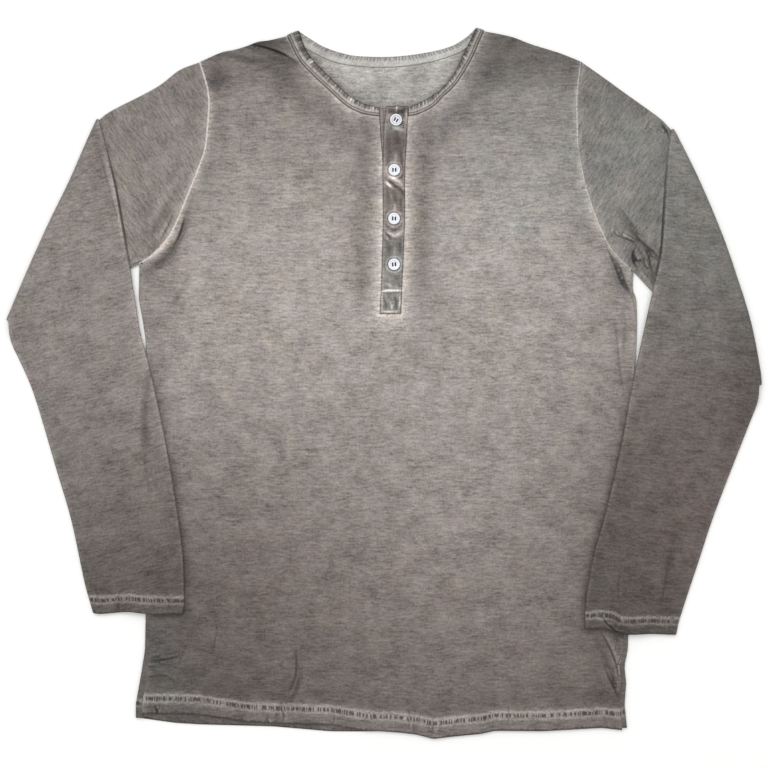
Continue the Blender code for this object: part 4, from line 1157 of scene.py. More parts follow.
def cover(points, sleeve):
    # 1 where the sleeve lies on two layers, 0 where it lies on the surface
    xTable, underarm = outline[sleeve["side"][0]], outline[sleeve["side"][1]]
    heights = np.append(outline["sideY"][:-1], underarm)
    side = np.column_stack([np.interp(heights, outline["sideY"], xTable), heights])
    armhole = curveOf(sleeve["armhole"])
    under = np.vstack([armhole[-1:], smoothCurve(sleeve["under"])[12:]])
    away = []
    for path in (side, under):
        distance, turn, _ = nearPath(points, path)
        away.append(-distance * turn * sleeve["hand"])
    reach = np.minimum(*away)
    return 1 - eased((reach - sleeves["coverMargin"]) / sleeves["coverRamp"])


def sleeveSection():
    # column, reach past the edge and height of each point round a flattened sleeve
    last = sleeves["columns"]
    angles = np.linspace(0, np.pi, sleeves["arcSteps"] + 2)[1:-1]
    section = [(column, 0.0, 0.0) for column in range(last + 1)]
    section += [(last, edgeRadius * math.sin(a), edgeRadius * (1 - math.cos(a))) for a in angles]
    section += [(column, 0.0, frontTop) for column in range(last, -1, -1)]
    section += [(0, edgeRadius * math.sin(a), edgeRadius * (1 - math.cos(a))) for a in angles[::-1]]
    section.append(section[0])
    return np.array(section)


def addSleeve(name, node, sleeve, outside, inside):
    hand, columns = sleeve["hand"], sleeves["columns"]
    armhole = even(curveOf(sleeve["armhole"]), columns)
    fold = offsetPath(even(smoothCurve(sleeve["fold"]), columns), -hand * foldHeight)
    runs = np.vstack([fold[1:2] - fold[:1], fold[2:] - fold[:-2], fold[-1:] - fold[-2:-1]])
    outwards = np.column_stack([-runs[:, 1], runs[:, 0]]) * hand
    outwards /= np.linalg.norm(outwards, axis=1)[:, None]
    top = pinned(even(smoothCurve(sleeve["top"]), sleeves["upperRows"]), armhole[0], fold[0])
    under = pinned(even(smoothCurve(sleeve["under"]), sleeves["upperRows"]), armhole[-1], fold[-1])
    upper = patch(armhole, fold, top, under)
    # armhole and underarm edge meet almost in one line, where a plain patch folds over itself
    for _ in range(sleeves["evenings"]):
        around = upper[:-2, 1:-1] + upper[2:, 1:-1] + upper[1:-1, :-2] + upper[1:-1, 2:]
        upper[1:-1, 1:-1] = around / 4
    cuff = even(smoothCurve(sleeve["cuff"]), columns)
    edges = []
    for which, end, row in (("inner", 0, "innerShares"), ("outer", -1, "outerShares")):
        curve = smoothCurve(sleeve[which])
        band = laid["cuffDepth"] / lengthsOf(curve)[-1]
        shares = np.append(sleeves[row], 1 - band)
        count = (len(shares) - 1) * sleeves["rowsPerStation"]
        shares = np.interp(np.linspace(0, len(shares) - 1, count + 1), range(len(shares)), shares)
        shares = np.concatenate([shares, np.linspace(1 - band, 1, bandRows + 1)[1:]])
        edges.append(pinned(along(curve, shares), fold[end], cuff[end]))
    lower = patch(fold, cuff, *edges)

    angles = np.linspace(0, np.pi, sleeves["arcSteps"] + 2)[1:-1]
    plans = np.concatenate([upper, np.repeat(fold[None], len(angles), axis=0), lower])
    turns = np.concatenate([np.zeros(len(upper)), angles, np.full(len(lower), np.pi)])
    isLower = np.arange(len(plans)) >= len(upper) + len(angles)
    section = sleeveSection()
    column = section[:, 0].astype(int)
    reach, height = section[:, 1][None], np.repeat(section[:, 2][None], len(plans), axis=0)

    points = plans[:, column]
    neighbour = np.where(column == 0, 1, columns - 1)
    sideways = points - plans[:, neighbour]
    sideways /= np.maximum(np.linalg.norm(sideways, axis=2), 0.001)[..., None]
    atEdge = ((column == 0) | (column == columns))[None, :, None]
    points = points + np.where(atEdge, sideways * (reach - edgeRadius)[..., None], 0)
    fromCuff = np.clip((len(plans) - 1 - np.arange(len(plans))) / bandRows, 0, 9)[:, None]
    showing = (section[:, 2] < 0.01)[None] & isLower[:, None]
    height = height - showing * laid["turned"] * (1 - eased((fromCuff - 0.97) / 0.12))
    sine, cosine = np.sin(turns)[:, None], np.cos(turns)[:, None]
    points = points + outwards[column][None] * ((foldHeight - height) * sine)[..., None]
    z = foldHeight - (foldHeight - height) * cosine
    z = z - np.where(isLower[:, None], secondLow * (1 - cover(points, sleeve)), 0)

    # creases and ripples in the layers that show
    upperLift, upperTone = creased(points, sleeve["upperCreases"])
    for start, end, width, rise in sleeve["folds"]:
        away, _, _ = nearPath(points, np.array([start, end], float))
        upperLift = upperLift + rise * (1 - eased(away / (width / 2)))
    lowerLift, lowerTone = creased(points, sleeve["lowerCreases"])
    ripple = sleeves["ripple"] * (1 + cloudy(points, 48.0, 8.3 * hand))
    edgeAway = np.minimum(column, columns - column)[None] / 4
    upperTop = (turns == 0)[:, None] & (section[:, 2] > 2.6)[None]
    under = 1 - freeOfSleeves(points)
    z = z + np.where(upperTop, (upperLift + ripple) * (1 - under) * eased(edgeAway), 0)
    z = z + np.where(showing, (lowerLift + ripple) * eased(edgeAway), 0)
    tone = np.where(isLower[:, None], lowerTone, upperTone)

    # courses run straight across the upper arm and straight across the forearm
    slope = np.radians(np.where(isLower, sleeve["courses"][1], sleeve["courses"][0]))[:, None]
    course = points[..., 0] * np.cos(slope) + points[..., 1] * np.sin(slope)
    wale = points[..., 1] * np.cos(slope) - points[..., 0] * np.sin(slope)
    piece = addSheet(name, np.dstack([points, z]), np.dstack([course, wale]))

    fromArmhole = np.where(isLower[:, None], rowReach, nearPath(points, curveOf(sleeve["armhole"]))[0])
    cuffAway = nearPath(points, smoothCurve(sleeve["cuff"]))[0]
    stitched = np.where(isLower[:, None], cuffAway - laid["cuffDepth"], rowReach)
    uneven = 1 + 0.45 * cloudy(points, 11.0, 23.0)
    halo = 0.30 * hump(fromArmhole, 5)
    halo = np.maximum(halo, 0.60 * hump(stitched, 4.0, 1.5))
    halo = np.maximum(halo, 0.26 * hump(edgeAway * 4, 1.2) * showing)
    # the creases' tone adds painted highlight on ridges and painted shade in troughs, and the listed lines
    # add painted shade and highlight
    depth = dyedAndShaded(points, sleeve["fall"], sleeve["washes"], sleeve["shadeAndHighlightLines"]) + 0.5 * tone
    depth = depth + 0.22 * hump(stitched, 2.0, -3.5)
    onHem = laid["hemDepth"] / laid["cuffDepth"]
    setValues(
        piece,
        halo=halo * uneven,
        tone=np.exp(depth) - 1,
        cool=0.46 + washes(points, sleeve["cool"]) * (1 + 0.6 * cloudy(points, 30.0, 17.0)),
        hemRow=rowValue(np.where(stitched < 0, stitched * onHem, stitched)),
        seamRow=rowLine + seamLines(points, fromArmhole),
        **crispCreases(points, sleeve["crisp"]),
    )
    weld(piece)
    turnOutwards(piece)
    giveWall(piece, laid["wall"])
    finished(piece, (outside, inside), (node,))
    print(name, "made")
    return piece


def faceOutwards(piece):
    bpy.context.view_layer.objects.active = piece
    bpy.ops.object.mode_set(mode="EDIT")
    bpy.ops.mesh.select_all(action="SELECT")
    bpy.ops.mesh.normals_make_consistent(inside=False)
    bpy.ops.object.mode_set(mode="OBJECT")
    turnOutwards(piece)


def capEnds(piece):
    def fill(mesh):
        bmesh.ops.holes_fill(mesh, edges=[edge for edge in mesh.edges if edge.is_boundary])

    changeMesh(piece, fill)


# Neck binding: one gathered strip along the front, over at each shoulder and round the back

binding = {
    "wall": 1.4,
    "step": 0.75,  # between sections
    "around": 32,  # points round a section
    "width": 11.0,
    "gatherSpacing": 3.9,
    "gatherRise": 0.6,
    "tickSpacing": 3.7,
    "slant": 1.6,
    "turnSteps": 6,
    "fall": ((280, 0.02), (310, -0.04), (340, -0.16), (365, -0.38), (376, -0.50)),
    "washes": (
        (-96, 371, 8, 10, -0.45),
        (102, 373, 6, 8, -0.20),
        (-82, 356, 8, 8, -0.20),
        (-54, 314, 5, 5, 0.42),
        (-70, 336, 7, 7, -0.14),
        (62, 306, 7, 8, -0.16),
        (90, 350, 7, 9, -0.12),
    ),
    "cool": ((-96, 370, 14, 14, 0.14), (66, 312, 30, 30, 0.10)),
}
bindingFrontLow = binding["wall"] + laid["gap"]
bindingFold = binding["wall"] + laid["gap"] / 2


def gathers(run, spacing, seed, width):
    # uneven gathers along the strip: how far each place is up one, from 0 to 1
    dice = np.random.default_rng(seed)
    spots = np.arange(0, run.max() + spacing, spacing)
    spots = spots + dice.uniform(-0.34, 0.34, len(spots)) * spacing
    sizes = dice.uniform(0.35, 1.0, len(spots))
    widths = dice.uniform(0.75, 1.35, len(spots)) * width
    up = np.zeros(run.shape)
    for spot, size, wide in zip(spots, sizes, widths):
        up = np.maximum(up, size * hump(run, wide, spot))
    return up


def frontShading(run, share):
    # painted shade between the gathers and painted highlight on them, and painted shade along the free edge;
    # the two dark grooves of stitching are drawn by the binding's material
    fingers = gathers(run + binding["slant"] * share, binding["gatherSpacing"], 11, 1.15)
    stretches = cloudy(np.dstack([run, 0 * run]), 21.0, 5.0)
    outer = eased((share - 0.42) / 0.25)
    tone = 0.12 + 0.30 * stretches * (share > 0.3)
    tone = tone + outer * (-0.90 + (1.62 + 0.9 * stretches) * fingers)
    return tone - 1.2 * eased((share - 0.84) / 0.16), fingers


def backShading(run, share):
    # pale, with fine ribs to the seam, painted shade along the seam, in dark ticks at the gathers' dips near
    # the edge and along the edge itself
    ticks = gathers(run, binding["tickSpacing"], 29, 0.62)
    ribs = np.sin(run * 4.1) * 0.06 + np.sin(run * 2.3 + 1.0) * 0.04
    outer = eased((share - 0.48) / 0.22)
    tone = 0.60 - 0.80 * hump(share, 0.07) + ribs * (1 - outer)
    tone = tone - 1.1 * outer * ticks - 0.16 * outer
    return tone - 0.45 * eased((share - 0.88) / 0.1), ticks


def addBinding(outside):
    finer = 12
    leftSeam = offsetPath(even(curveOf("leftNeckSeam"), 8 * finer), -laid["gap"])
    rightSeam = offsetPath(even(curveOf("rightNeckSeam"), 8 * finer), laid["gap"])
    rightSeam[0] += (rightSeam[1] - rightSeam[0]) * 0.9
    backSeam = offsetPath(even(curveOf("backNeckSeam"), 8 * finer), laid["gap"])
    backSeam[0], backSeam[-1] = leftSeam[-1], rightSeam[-1]
    stretches = (
        (leftSeam, curveOf("leftNeckEdge")),
        (backSeam, curveOf("backNeckEdge")),
        (rightSeam[::-1], curveOf("rightNeckEdge")[::-1]),
    )
    angle = np.linspace(0, 2 * np.pi, binding["around"] + 1)
    cosine, sine = np.cos(angle), np.sin(angle)
    share = 0.5 - 0.5 * np.sign(cosine) * np.abs(cosine) ** 0.6
    level = 0.5 + 0.5 * np.sign(sine) * np.abs(sine) ** 0.6
    rings, tones, runs, cools, rows = [], [], [], [], []
    run = 0.0
    for number, (seamPath, edgePath) in enumerate(stretches):
        length = lengthsOf(seamPath)[-1]
        s = np.linspace(0, 1, int(length / binding["step"]) + 1)
        seam, edge = along(seamPath, s), along(edgePath, s)
        plan = seam[:, None] * (1 - share)[None, :, None] + edge[:, None] * share[None, :, None]
        toFold = {0: 1 - s, 1: np.minimum(s, 1 - s), 2: s}[number]
        calm = eased((toFold - 0.02) / 0.07)
        place = (run + s * length)[:, None] + 0 * share[None]
        across = share[None] + 0 * place
        if number == 1:
            tone, up = backShading(place, across)
            tone = tone + washes(plan, binding["washes"])
            shown = np.clip(1 - 2 * level, 0, 1)[None] * eased((across - 0.3) / 0.4)
            z = binding["wall"] * (1 - level)[None] - 0.35 * up * shown * calm[:, None]
            cools.append(np.full(tone.shape, 0.70))
            rows.append(np.full(tone.shape, float(rowLine + rowReach)))
        else:
            tone, up = frontShading(place, across)
            tone = tone + dyedAndShaded(plan, binding["fall"], binding["washes"])
            low = bindingFrontLow + frontLift(seam)[0] * calm
            shown = np.clip(2 * level - 1, 0, 1)[None] * (0.3 + 0.7 * eased((across - 0.3) / 0.3))
            lift = binding["gatherRise"] * (up - 0.3) * shown * calm[:, None]
            z = low[:, None] + binding["wall"] * level[None] + lift
            cools.append(0.47 + 0.6 * washes(plan, front["cool"]) + washes(plan, binding["cool"]))
            rows.append(rowLine - across * np.linalg.norm(edge - seam, axis=1)[:, None])
        rings.append(np.dstack([plan, z]))
        tones.append(tone)
        runs.append(run + s * length)
        run += length
        if number == 2:
            continue
        # over at the shoulder, about the line from its seam to its edge
        start, end = seam[-1], edge[-1]
        heading = (end - start) / np.linalg.norm(end - start)
        out = np.array([-heading[1], heading[0]]) * (1 if heading[0] > 0 else -1)
        turns = np.linspace(0, np.pi, binding["turnSteps"] + 1)[1:-1]
        for turn in turns if number == 0 else turns[::-1]:
            reach = bindingFold - (1 - level) * binding["wall"]
            plan = start * (1 - share)[:, None] + end * share[:, None]
            plan = plan + out * (reach * math.sin(turn))[:, None]
            rings.append(np.column_stack([plan, bindingFold + reach * math.cos(turn)])[None])
            tones.append(np.full((1, len(share)), -0.35))
            cools.append(np.full((1, len(share)), 0.55))
            rows.append(np.full((1, len(share)), float(rowLine + rowReach)))
            runs.append(np.array([run]))
    runs = np.concatenate(runs)
    girth = 2 * binding["width"] * angle / (2 * np.pi)
    grain = np.stack(np.broadcast_arrays(runs[:, None], girth[None]), axis=2)
    places = np.concatenate(rings)
    piece = addSheet("neckBinding", places, grain)
    tone, cool, row = (np.concatenate(parts) for parts in (tones, cools, rows))
    setValues(piece, tone=np.exp(tone) - 1, cool=cool, neckRow=row)
    weld(piece)
    capEnds(piece)
    faceOutwards(piece)
    bpy.ops.object.shade_smooth_by_angle(angle=math.radians(60))
    finished(piece, (outside,), ("neck_binding",))
    print("neck binding made")
    return piece


# Placket: the strip with the buttonholes lies on the one with the buttons

placket = {
    "columns": 40,
    "rows": 320,
    "boxHeight": 98.5,  # the row of stitching across
    "underTop": 292.4,
    "creases": (
        (((2, 219), (8, 214), (14, 209), (19, 203)), 2.2, 0.9, 1),
        (((2, 213), (6, 210), (9, 207)), 1.6, 0.6, 1),
        (((0, 162), (5, 158), (12, 156), (20, 162)), 2.0, 0.7, 1),
        (((3, 166), (10, 163), (17, 166)), 1.6, 0.5, 1),
        (((17, 208), (18, 196), (15, 188)), 2.4, 0.4, -1),
        (((4, 290), (10, 288), (20, 289)), 1.8, 0.5, 1),
        (((5, 273), (12, 270), (20, 269)), 2.0, 0.4, 1),
        (((3, 90), (8, 86), (14, 89)), 2.4, 0.4, 1),
    ),
    # how dark the strip is along its length: height, strength
    "fall": (
        (73, -0.04), (80, -0.24), (92, -0.14), (98.5, 0.0), (104, -0.12), (112, -0.27),
        (126, -0.30), (134, -0.34), (144, -0.56), (154, -0.50), (161, -0.16), (168, -0.30),
        (175, -0.34), (184, -0.38), (194, -0.58), (205, -0.46), (213, -0.20), (222, -0.24),
        (230, -0.30), (238, -0.42), (248, -0.70), (258, -0.78), (266, -0.52), (272, -0.26),
        (282, -0.36), (290, -0.66), (295, -0.80),
    ),
    # painted shade (below 0) and painted highlight (above 0) on the strip's wrinkles: path, width, strength
    "lines": (
        (((4.8, 291.5), (6.9, 288.3), (19.6, 288.3), (22.8, 292)), 2.0, -0.6),
        (((13.2, 297.3), (12.9, 292), (12.6, 286.7)), 0.8, 0.75),
        (((22.4, 289.9), (23.2, 284.6), (23.4, 277.2)), 0.8, 0.45),
        (((18.6, 287.8), (20, 282.5)), 1.2, -0.55),
        (((4.8, 275.1), (6.9, 271.9), (10.1, 270.8)), 1.5, -0.35),
        (((5.8, 272.9), (12.2, 270.3), (20.7, 268.7)), 1.8, 0.42),
        (((17.3, 272.9), (18.6, 276.1)), 1.0, -0.4),
        (((3.7, 266.6), (4.8, 258.1), (5.8, 249.6)), 2.2, -0.16),
        (((12.2, 264.5), (13.2, 256), (12.7, 248.6)), 3.4, -0.22),
        (((17.5, 264.5), (18, 251.8), (18.6, 241.2)), 1.5, 0.12),
        (((5.3, 247.5), (4.2, 236.9), (3.7, 229.5)), 1.6, -0.32),
        (((17.5, 247.5), (18.1, 239), (19, 230.6)), 1.4, -0.36),
        (((12.2, 244.3), (11.6, 238), (11.1, 233.7)), 1.7, 0.42),
        (((18.1, 232.7), (19.2, 225.2), (17.5, 218.9)), 1.2, -0.5),
        (((15.4, 217.3), (18.6, 218.9), (20.7, 223.1)), 0.9, -0.5),
        (((1.6, 218.3), (5.8, 214.2), (12.2, 208.8), (18.6, 203.5), (20.7, 197.7)), 1.25, -0.75),
        (((3.7, 218.4), (10.1, 216.8), (15.4, 213.6), (20.1, 207.2)), 2.0, 0.62),
        (((1.9, 213.4), (4.8, 210.2), (8.6, 207)), 1.35, 1.05),
        (((2.7, 205.1), (3.7, 196.6), (4.3, 188.2)), 1.6, -0.2),
        (((9, 206.2), (10.7, 197.7), (12.2, 191.3)), 2.2, -0.26),
        (((16.4, 200.9), (17.1, 192.4), (17.5, 183.9)), 1.6, -0.22),
        (((5.8, 203), (7.5, 194.5)), 1.1, 0.16),
        (((11.1, 192.4), (10.9, 187.1), (10.7, 182.9)), 1.6, 0.45),
        (((2.1, 181.8), (1.2, 174.4), (2, 167)), 1.2, -0.22),
        (((18.1, 182.9), (19, 174.4), (17.5, 167)), 1.2, -0.25),
        (((4.8, 164.8), (10.1, 162.3), (15.8, 164.8)), 1.2, -0.5),
        (((1.6, 161), (6.9, 158.5), (11.1, 156.3), (19.1, 161.7)), 1.7, 0.62),
        (((0.3, 161.1), (3.2, 157.4), (6.9, 153.8)), 1.0, -0.62),
        (((1.2, 155.7), (4.3, 151.7)), 1.1, 0.55),
        (((13.2, 154.2), (18.1, 157.9)), 1.2, 0.3),
        (((3.7, 148.9), (4.8, 142.6), (3.7, 135.2)), 1.8, -0.22),
        (((16.4, 150), (17.1, 141.5), (18.1, 134.1)), 1.6, -0.26),
        (((10.7, 144.7), (10.5, 139.4), (10.3, 135.2)), 1.6, 0.34),
        (((1, 132), (0.1, 125.6), (1.2, 119.2)), 1.2, -0.2),
        (((18.6, 130.9), (19, 124.6), (17.9, 118.2)), 1.1, -0.26),
        (((8, 115), (13.2, 111.8), (17.5, 107.6)), 2.4, -0.22),
        (((14.3, 105.5), (18.1, 101.8)), 1.6, -0.36),
        (((-1.6, 102.3), (4.8, 101.2)), 1.1, -0.3),
        (((0.5, 105.5), (6.9, 103.4), (10.1, 101.2)), 1.4, 0.34),
        (((-3.7, 98.5), (6.9, 98.5), (19.2, 98.7)), 0.85, 0.95),
        (((-2.7, 95.9), (8, 95.7), (17.5, 96.4)), 0.8, -0.42),
        (((-1, 90.6), (1.4, 85.3), (2, 79)), 1.3, -0.48),
        (((10.7, 92.8), (12.2, 85.3), (12.8, 79)), 1.4, -0.45),
        (((5.4, 88.5), (6.9, 83.2), (8.6, 77.5)), 1.0, 0.42),
        (((6.5, 77.9), (9, 83.2), (11.1, 87.5)), 0.8, 0.26),
        (((3.7, 93.8), (5.8, 88.5)), 1.4, -0.2),
        (((16.2, 91.7), (16, 84.3), (14.3, 78.3)), 0.9, 0.55),
        (((-2.9, 94.9), (-2.9, 86.4), (-2.2, 77.9)), 0.8, 0.42),
        (((-2.7, 76.5), (4.8, 76.2), (13.2, 76.4)), 0.8, 0.6),
    ),
}  # fmt: skip
underStrip = {
    "columns": 22,
    "rows": 200,
    "creases": (),
    "fall": ((70, -0.30), (250, -0.30), (270, -0.20), (293, -0.30)),
    # painted shade (below 0) and painted highlight (above 0) on the under strip: path, width, strength
    "lines": (
        (((-3.5, 292), (-3.3, 283.6), (-2.9, 274)), 0.8, 0.35),
        (((0.7, 293.1), (1.2, 285.7), (1, 277.2)), 0.9, 0.6),
        (((-1.4, 292), (-1.2, 282.5), (-1.4, 270.8)), 1.0, -0.35),
        (((2.7, 294.2), (2.7, 283.6), (1.6, 270.8), (0.1, 260.2)), 1.1, -0.9),
        (((-1.4, 261.7), (-0.1, 260.9)), 1.3, -0.8),
        (((-0.3, 258.5), (-0.1, 255.6)), 1.6, 1.25),
        (((-2.2, 251.8), (-2.4, 239)), 0.9, 0.3),
    ),
}  # fmt: skip


def stripSheet(left, right, low, look):
    # the strip's points, their heights, and how far each is from the nearest edge
    first, last = even(left, look["rows"]), even(right, look["rows"])
    across = np.linspace(0, 1, look["columns"] + 1)
    points = first[:, None] * (1 - across)[None, :, None] + last[:, None] * across[None, :, None]
    up = np.linspace(0, 1, look["rows"] + 1)[:, None]
    width = np.linalg.norm(last - first, axis=1)[:, None]
    length = lengthsOf(first)[-1]
    inward = np.minimum(np.minimum(across, 1 - across)[None] * width, np.minimum(up, 1 - up) * length)
    droop = 0.7 * (1 - np.clip(inward / 1.3, 0, 1)) ** 2
    return points, low + laid["layer"] + frontLift(points)[0] - droop, inward


def addPlacket(outside, inside):
    left, right = placketEdges()
    points, z, inward = stripSheet(left, right, secondLow, placket)
    lift, _ = creased(points, placket["creases"])
    held = np.ones(points.shape[:-1])
    ring = np.zeros(points.shape[:-1])
    # a pale ring round each button, and painted shadow at the button's edge
    for x, y in button["places"]:
        away = np.hypot(points[..., 0] - x, points[..., 1] - y)
        held *= eased((away - 6.0) / 3.5)
        ring = np.maximum(ring, hump(away, 1.3, 8.3) * (0.5 if y > 250 else 1))
        ring = ring - 0.9 * hump(away, 0.8, 6.2)
    puff = 0.5 * np.clip(inward / 5, 0, 1) * (1 + 0.6 * cloudy(points, 16.0, 21.0))
    box = points[..., 1] - placket["boxHeight"]
    sewn = np.clip(hump(inward, 0.7, 1.6) + hump(box, 0.8), 0, 1)
    z = z + (lift + puff) * held - 0.22 * sewn
    piece = addSheet("placketUpper", np.dstack([points, z]), points)
    uneven = 1 + 0.35 * cloudy(points, 9.0, 33.0)
    depth = 0.16 + 1.35 * dyedAndShaded(points, placket["fall"], ())
    # the strip's lines are painted shade and highlight on its wrinkles
    depth = depth * (0.60 + 0.40 * eased(inward / 4.5)) + 1.7 * shadeAndHighlightLines(points, placket["lines"])
    depth = depth + 0.62 * ring + 0.36 * hump(inward, 0.8, 1.7) * uneven
    # painted shade along the strip's edges
    depth = depth - 1.1 * hump(inward, 0.75) + 0.16 * cloudy(points, 5.0, 7.0)
    depth = depth + 0.20 * cloudy(points * (1, 0.4), 4.5, 3.0)
    cool = 0.32 + 0.20 * ring + 0.10 * cloudy(points, 22.0, 9.0)
    cool = cool + 0.30 * (1 - eased((points[..., 1] - 140) / 40))
    cool = cool + 0.40 * hump(points[..., 1], 5, 271.5)
    setValues(piece, tone=np.exp(depth) - 1, cool=cool)
    giveWall(piece, laid["wall"])
    finished(piece, (outside, inside), ("placket_upper",))

    sides = []
    for name, inwards in (("slitLeft", laid["gap"]), ("slitRight", -laid["gap"])):
        edge = np.array(outline[name], float) + (inwards, 0)
        sides.append(np.vstack([edge, [[edge[-1, 0], placket["underTop"]]]]))
    points, z, inward = stripSheet(*sides, frontLow, underStrip)
    under = addSheet("placketUnder", np.dstack([points, z]), points)
    depth = dyedAndShaded(points, underStrip["fall"], (), underStrip["lines"])
    # painted shade along the under strip's edges
    depth = depth - 0.6 * hump(inward, 0.8)
    setValues(under, tone=np.exp(depth) - 1, cool=0.45 + 0 * inward)
    giveWall(under, laid["wall"])
    finished(under, (outside, inside), ("placket_under",))
    print("placket made")
    return piece, under


# Buttons: cast and turned resin, a raised rim round a dished middle, sewn through four holes

button = {
    "places": ((12.2, 279.3), (10.4, 226.3), (10.1, 174.7), (10.1, 126.2)),
    "sides": 40,
    # radius and height, from the underside to the dish
    "profile": (
        (4.6, 0.0), (5.7, 0.35), (6.15, 0.9), (6.2, 1.4), (5.95, 1.9), (5.4, 2.15),
        (4.9, 2.1), (4.4, 1.8), (3.9, 1.4), (3.2, 1.25),
    ),
    "holeRadius": 0.85,
    "holeOffset": 1.45,
    "threads": 5,  # strands in each bar
    "threadRadius": 0.2,
    "threadSpacing": 0.30,
    "threadLevel": 1.35,  # height of the dish that the bars cross
    "threadRise": 0.35,
    "threadFall": 0.06,  # how much lower each strand lies towards a bar's sides
    "threadReach": 0.25,  # past the middle of a hole
    "threadDepth": 0.9,
    "turn": (-32, 0, -4, 6),
    "groove": (4.3, 0.6),  # radius and width of the groove inside the rim
    "grime": (0.55, 0.16, 0.12, 0.14),  # painted shade in the groove inside each one's rim
}  # fmt: skip


def addButton(number, x, y, resin, thread):
    base = secondLow + laid["layer"] + laid["gap"] + float(frontLift(np.array([[x, y]], float))[0][0])
    place = Vector((x - laid["middle"][0], y - laid["middle"][1], base)) * mm
    bpy.ops.object.select_all(action="DESELECT")
    radius = button["profile"][0][0] * mm
    bpy.ops.mesh.primitive_circle_add(
        vertices=button["sides"], radius=radius, fill_type="NGON", location=place
    )
    disc = bpy.context.object
    bpy.ops.object.mode_set(mode="EDIT")
    for (before, low), (after, high) in zip(button["profile"], button["profile"][1:]):
        lift = {"value": (0, 0, (high - low) * mm)}
        bpy.ops.mesh.extrude_region_move(TRANSFORM_OT_translate=lift)
        bpy.ops.transform.resize(value=(after / before, after / before, 1))
    bpy.ops.mesh.select_all(action="SELECT")
    bpy.ops.mesh.normals_make_consistent(inside=False)
    bpy.ops.object.mode_set(mode="OBJECT")

    turn = math.radians(button["turn"][number - 1])
    cutters = []
    spots = []
    for across, up in ((-1, -1), (-1, 1), (1, -1), (1, 1)):
        flat = Vector((across, up, 0)) * button["holeOffset"] * mm
        spot = place + Vector((
            flat.x * math.cos(turn) - flat.y * math.sin(turn),
            flat.x * math.sin(turn) + flat.y * math.cos(turn),
            0,
        ))  # fmt: skip
        spots.append(spot)
        bpy.ops.object.select_all(action="DESELECT")
        bpy.ops.mesh.primitive_cylinder_add(
            vertices=16, radius=button["holeRadius"] * mm, depth=8 * mm, location=spot
        )
        cutters.append(bpy.context.object)
    for cutter in cutters:
        cutter.select_set(True)
    bpy.context.view_layer.objects.active = cutters[0]
    bpy.ops.object.join()
    holes = bpy.context.object
    cut = disc.modifiers.new("thread holes", "BOOLEAN")
    cut.object = holes
    cut.solver = "EXACT"
    selectOnly(disc)
    bpy.ops.object.modifier_apply(modifier=cut.name)
    bpy.data.objects.remove(holes, do_unlink=True)
    bpy.ops.object.transform_apply(location=True, rotation=True, scale=True)
    bpy.ops.object.shade_smooth_by_angle(angle=math.radians(50))
    disc.name = disc.data.name = f"button{number}"
    # painted shade round the groove inside the rim, strongest on the tilted top button
    out = np.array([math.hypot(v.co.x - place.x, v.co.y - place.y) for v in disc.data.vertices]) / mm
    groove, width = button["groove"]
    setValues(disc, grime=button["grime"][number - 1] * hump(out, width, groove))
    finished(disc, (resin,), (f"button_{number}",))

    # two bars of thread, each of a few strands side by side from hole to hole
    strands = []
    top = place.z + button["threadLevel"] * mm
    for low, high in ((spots[0], spots[1]), (spots[2], spots[3])):
        sideways = (high - low).cross(Vector((0, 0, 1))).normalized()
        for k in range(button["threads"]):
            beside = k - (button["threads"] - 1) / 2
            shift = sideways * beside * button["threadSpacing"] * mm
            rise = (button["threadRise"] - abs(beside) * button["threadFall"]) * mm
            strands.append((low + shift, high + shift, top + rise))
    bars = addStrands(f"buttonThread{number}", strands)
    finished(bars, (thread,))


def addStrands(name, strands):
    # each strand is a thin arch: down a hole, over, and down the next
    curve = bpy.data.curves.new(name, "CURVE")
    curve.dimensions = "3D"
    curve.bevel_depth = button["threadRadius"] * mm
    curve.bevel_resolution = 1
    curve.use_fill_caps = True
    for low, high, top in strands:
        a, b = Vector((low.x, low.y, top)), Vector((high.x, high.y, top))
        run = (b - a).normalized() * button["threadReach"] * mm
        down = Vector((0, 0, button["threadDepth"] * mm))
        start, end = a - run, b + run
        path = (start - down, start - down * 0.3, a + run, (a + b) / 2, b - run, end - down * 0.3, end - down)
        spline = curve.splines.new("POLY")
        spline.points.add(len(path) - 1)
        for point, place in zip(spline.points, path):
            point.co = (*place, 1)
    piece = bpy.data.objects.new(name, curve)
    bpy.context.scene.collection.objects.link(piece)
    selectOnly(piece)
    bpy.ops.object.convert(target="MESH")
    bpy.ops.object.shade_smooth()
    return bpy.context.object


# Sewing: one stitch is modelled, and copied along each row

sewing = {
    "length": 2.3,
    "gap": 0.7,
    "thick": 0.34,
    "sink": 0.06,
    # distances of the rows from the turned hem's edge, the neck seam and the turned cuff's edge
    "hemRows": (-2.4, 2.4),
    "hemSpan": (-254, 250),
    "neckRows": (0.4, 2.7),
    "cuffRows": (-2.0, 2.0),
    "placketInset": 1.6,
    "boxRow": (-2.4, 17.2),
    "lowRow": (-3.4, 15.7, 75.6),  # its ends and its height
    "tackRow": (19.2, 20.6, 0.5),  # ends of each stitch of the bar tack, and its slope
    "tackHeights": (277.4, 275.2, 273.0, 270.8),
}
tacking = {"length": 1.7, "gap": 0.1, "thick": 0.8, "sink": 0.0}


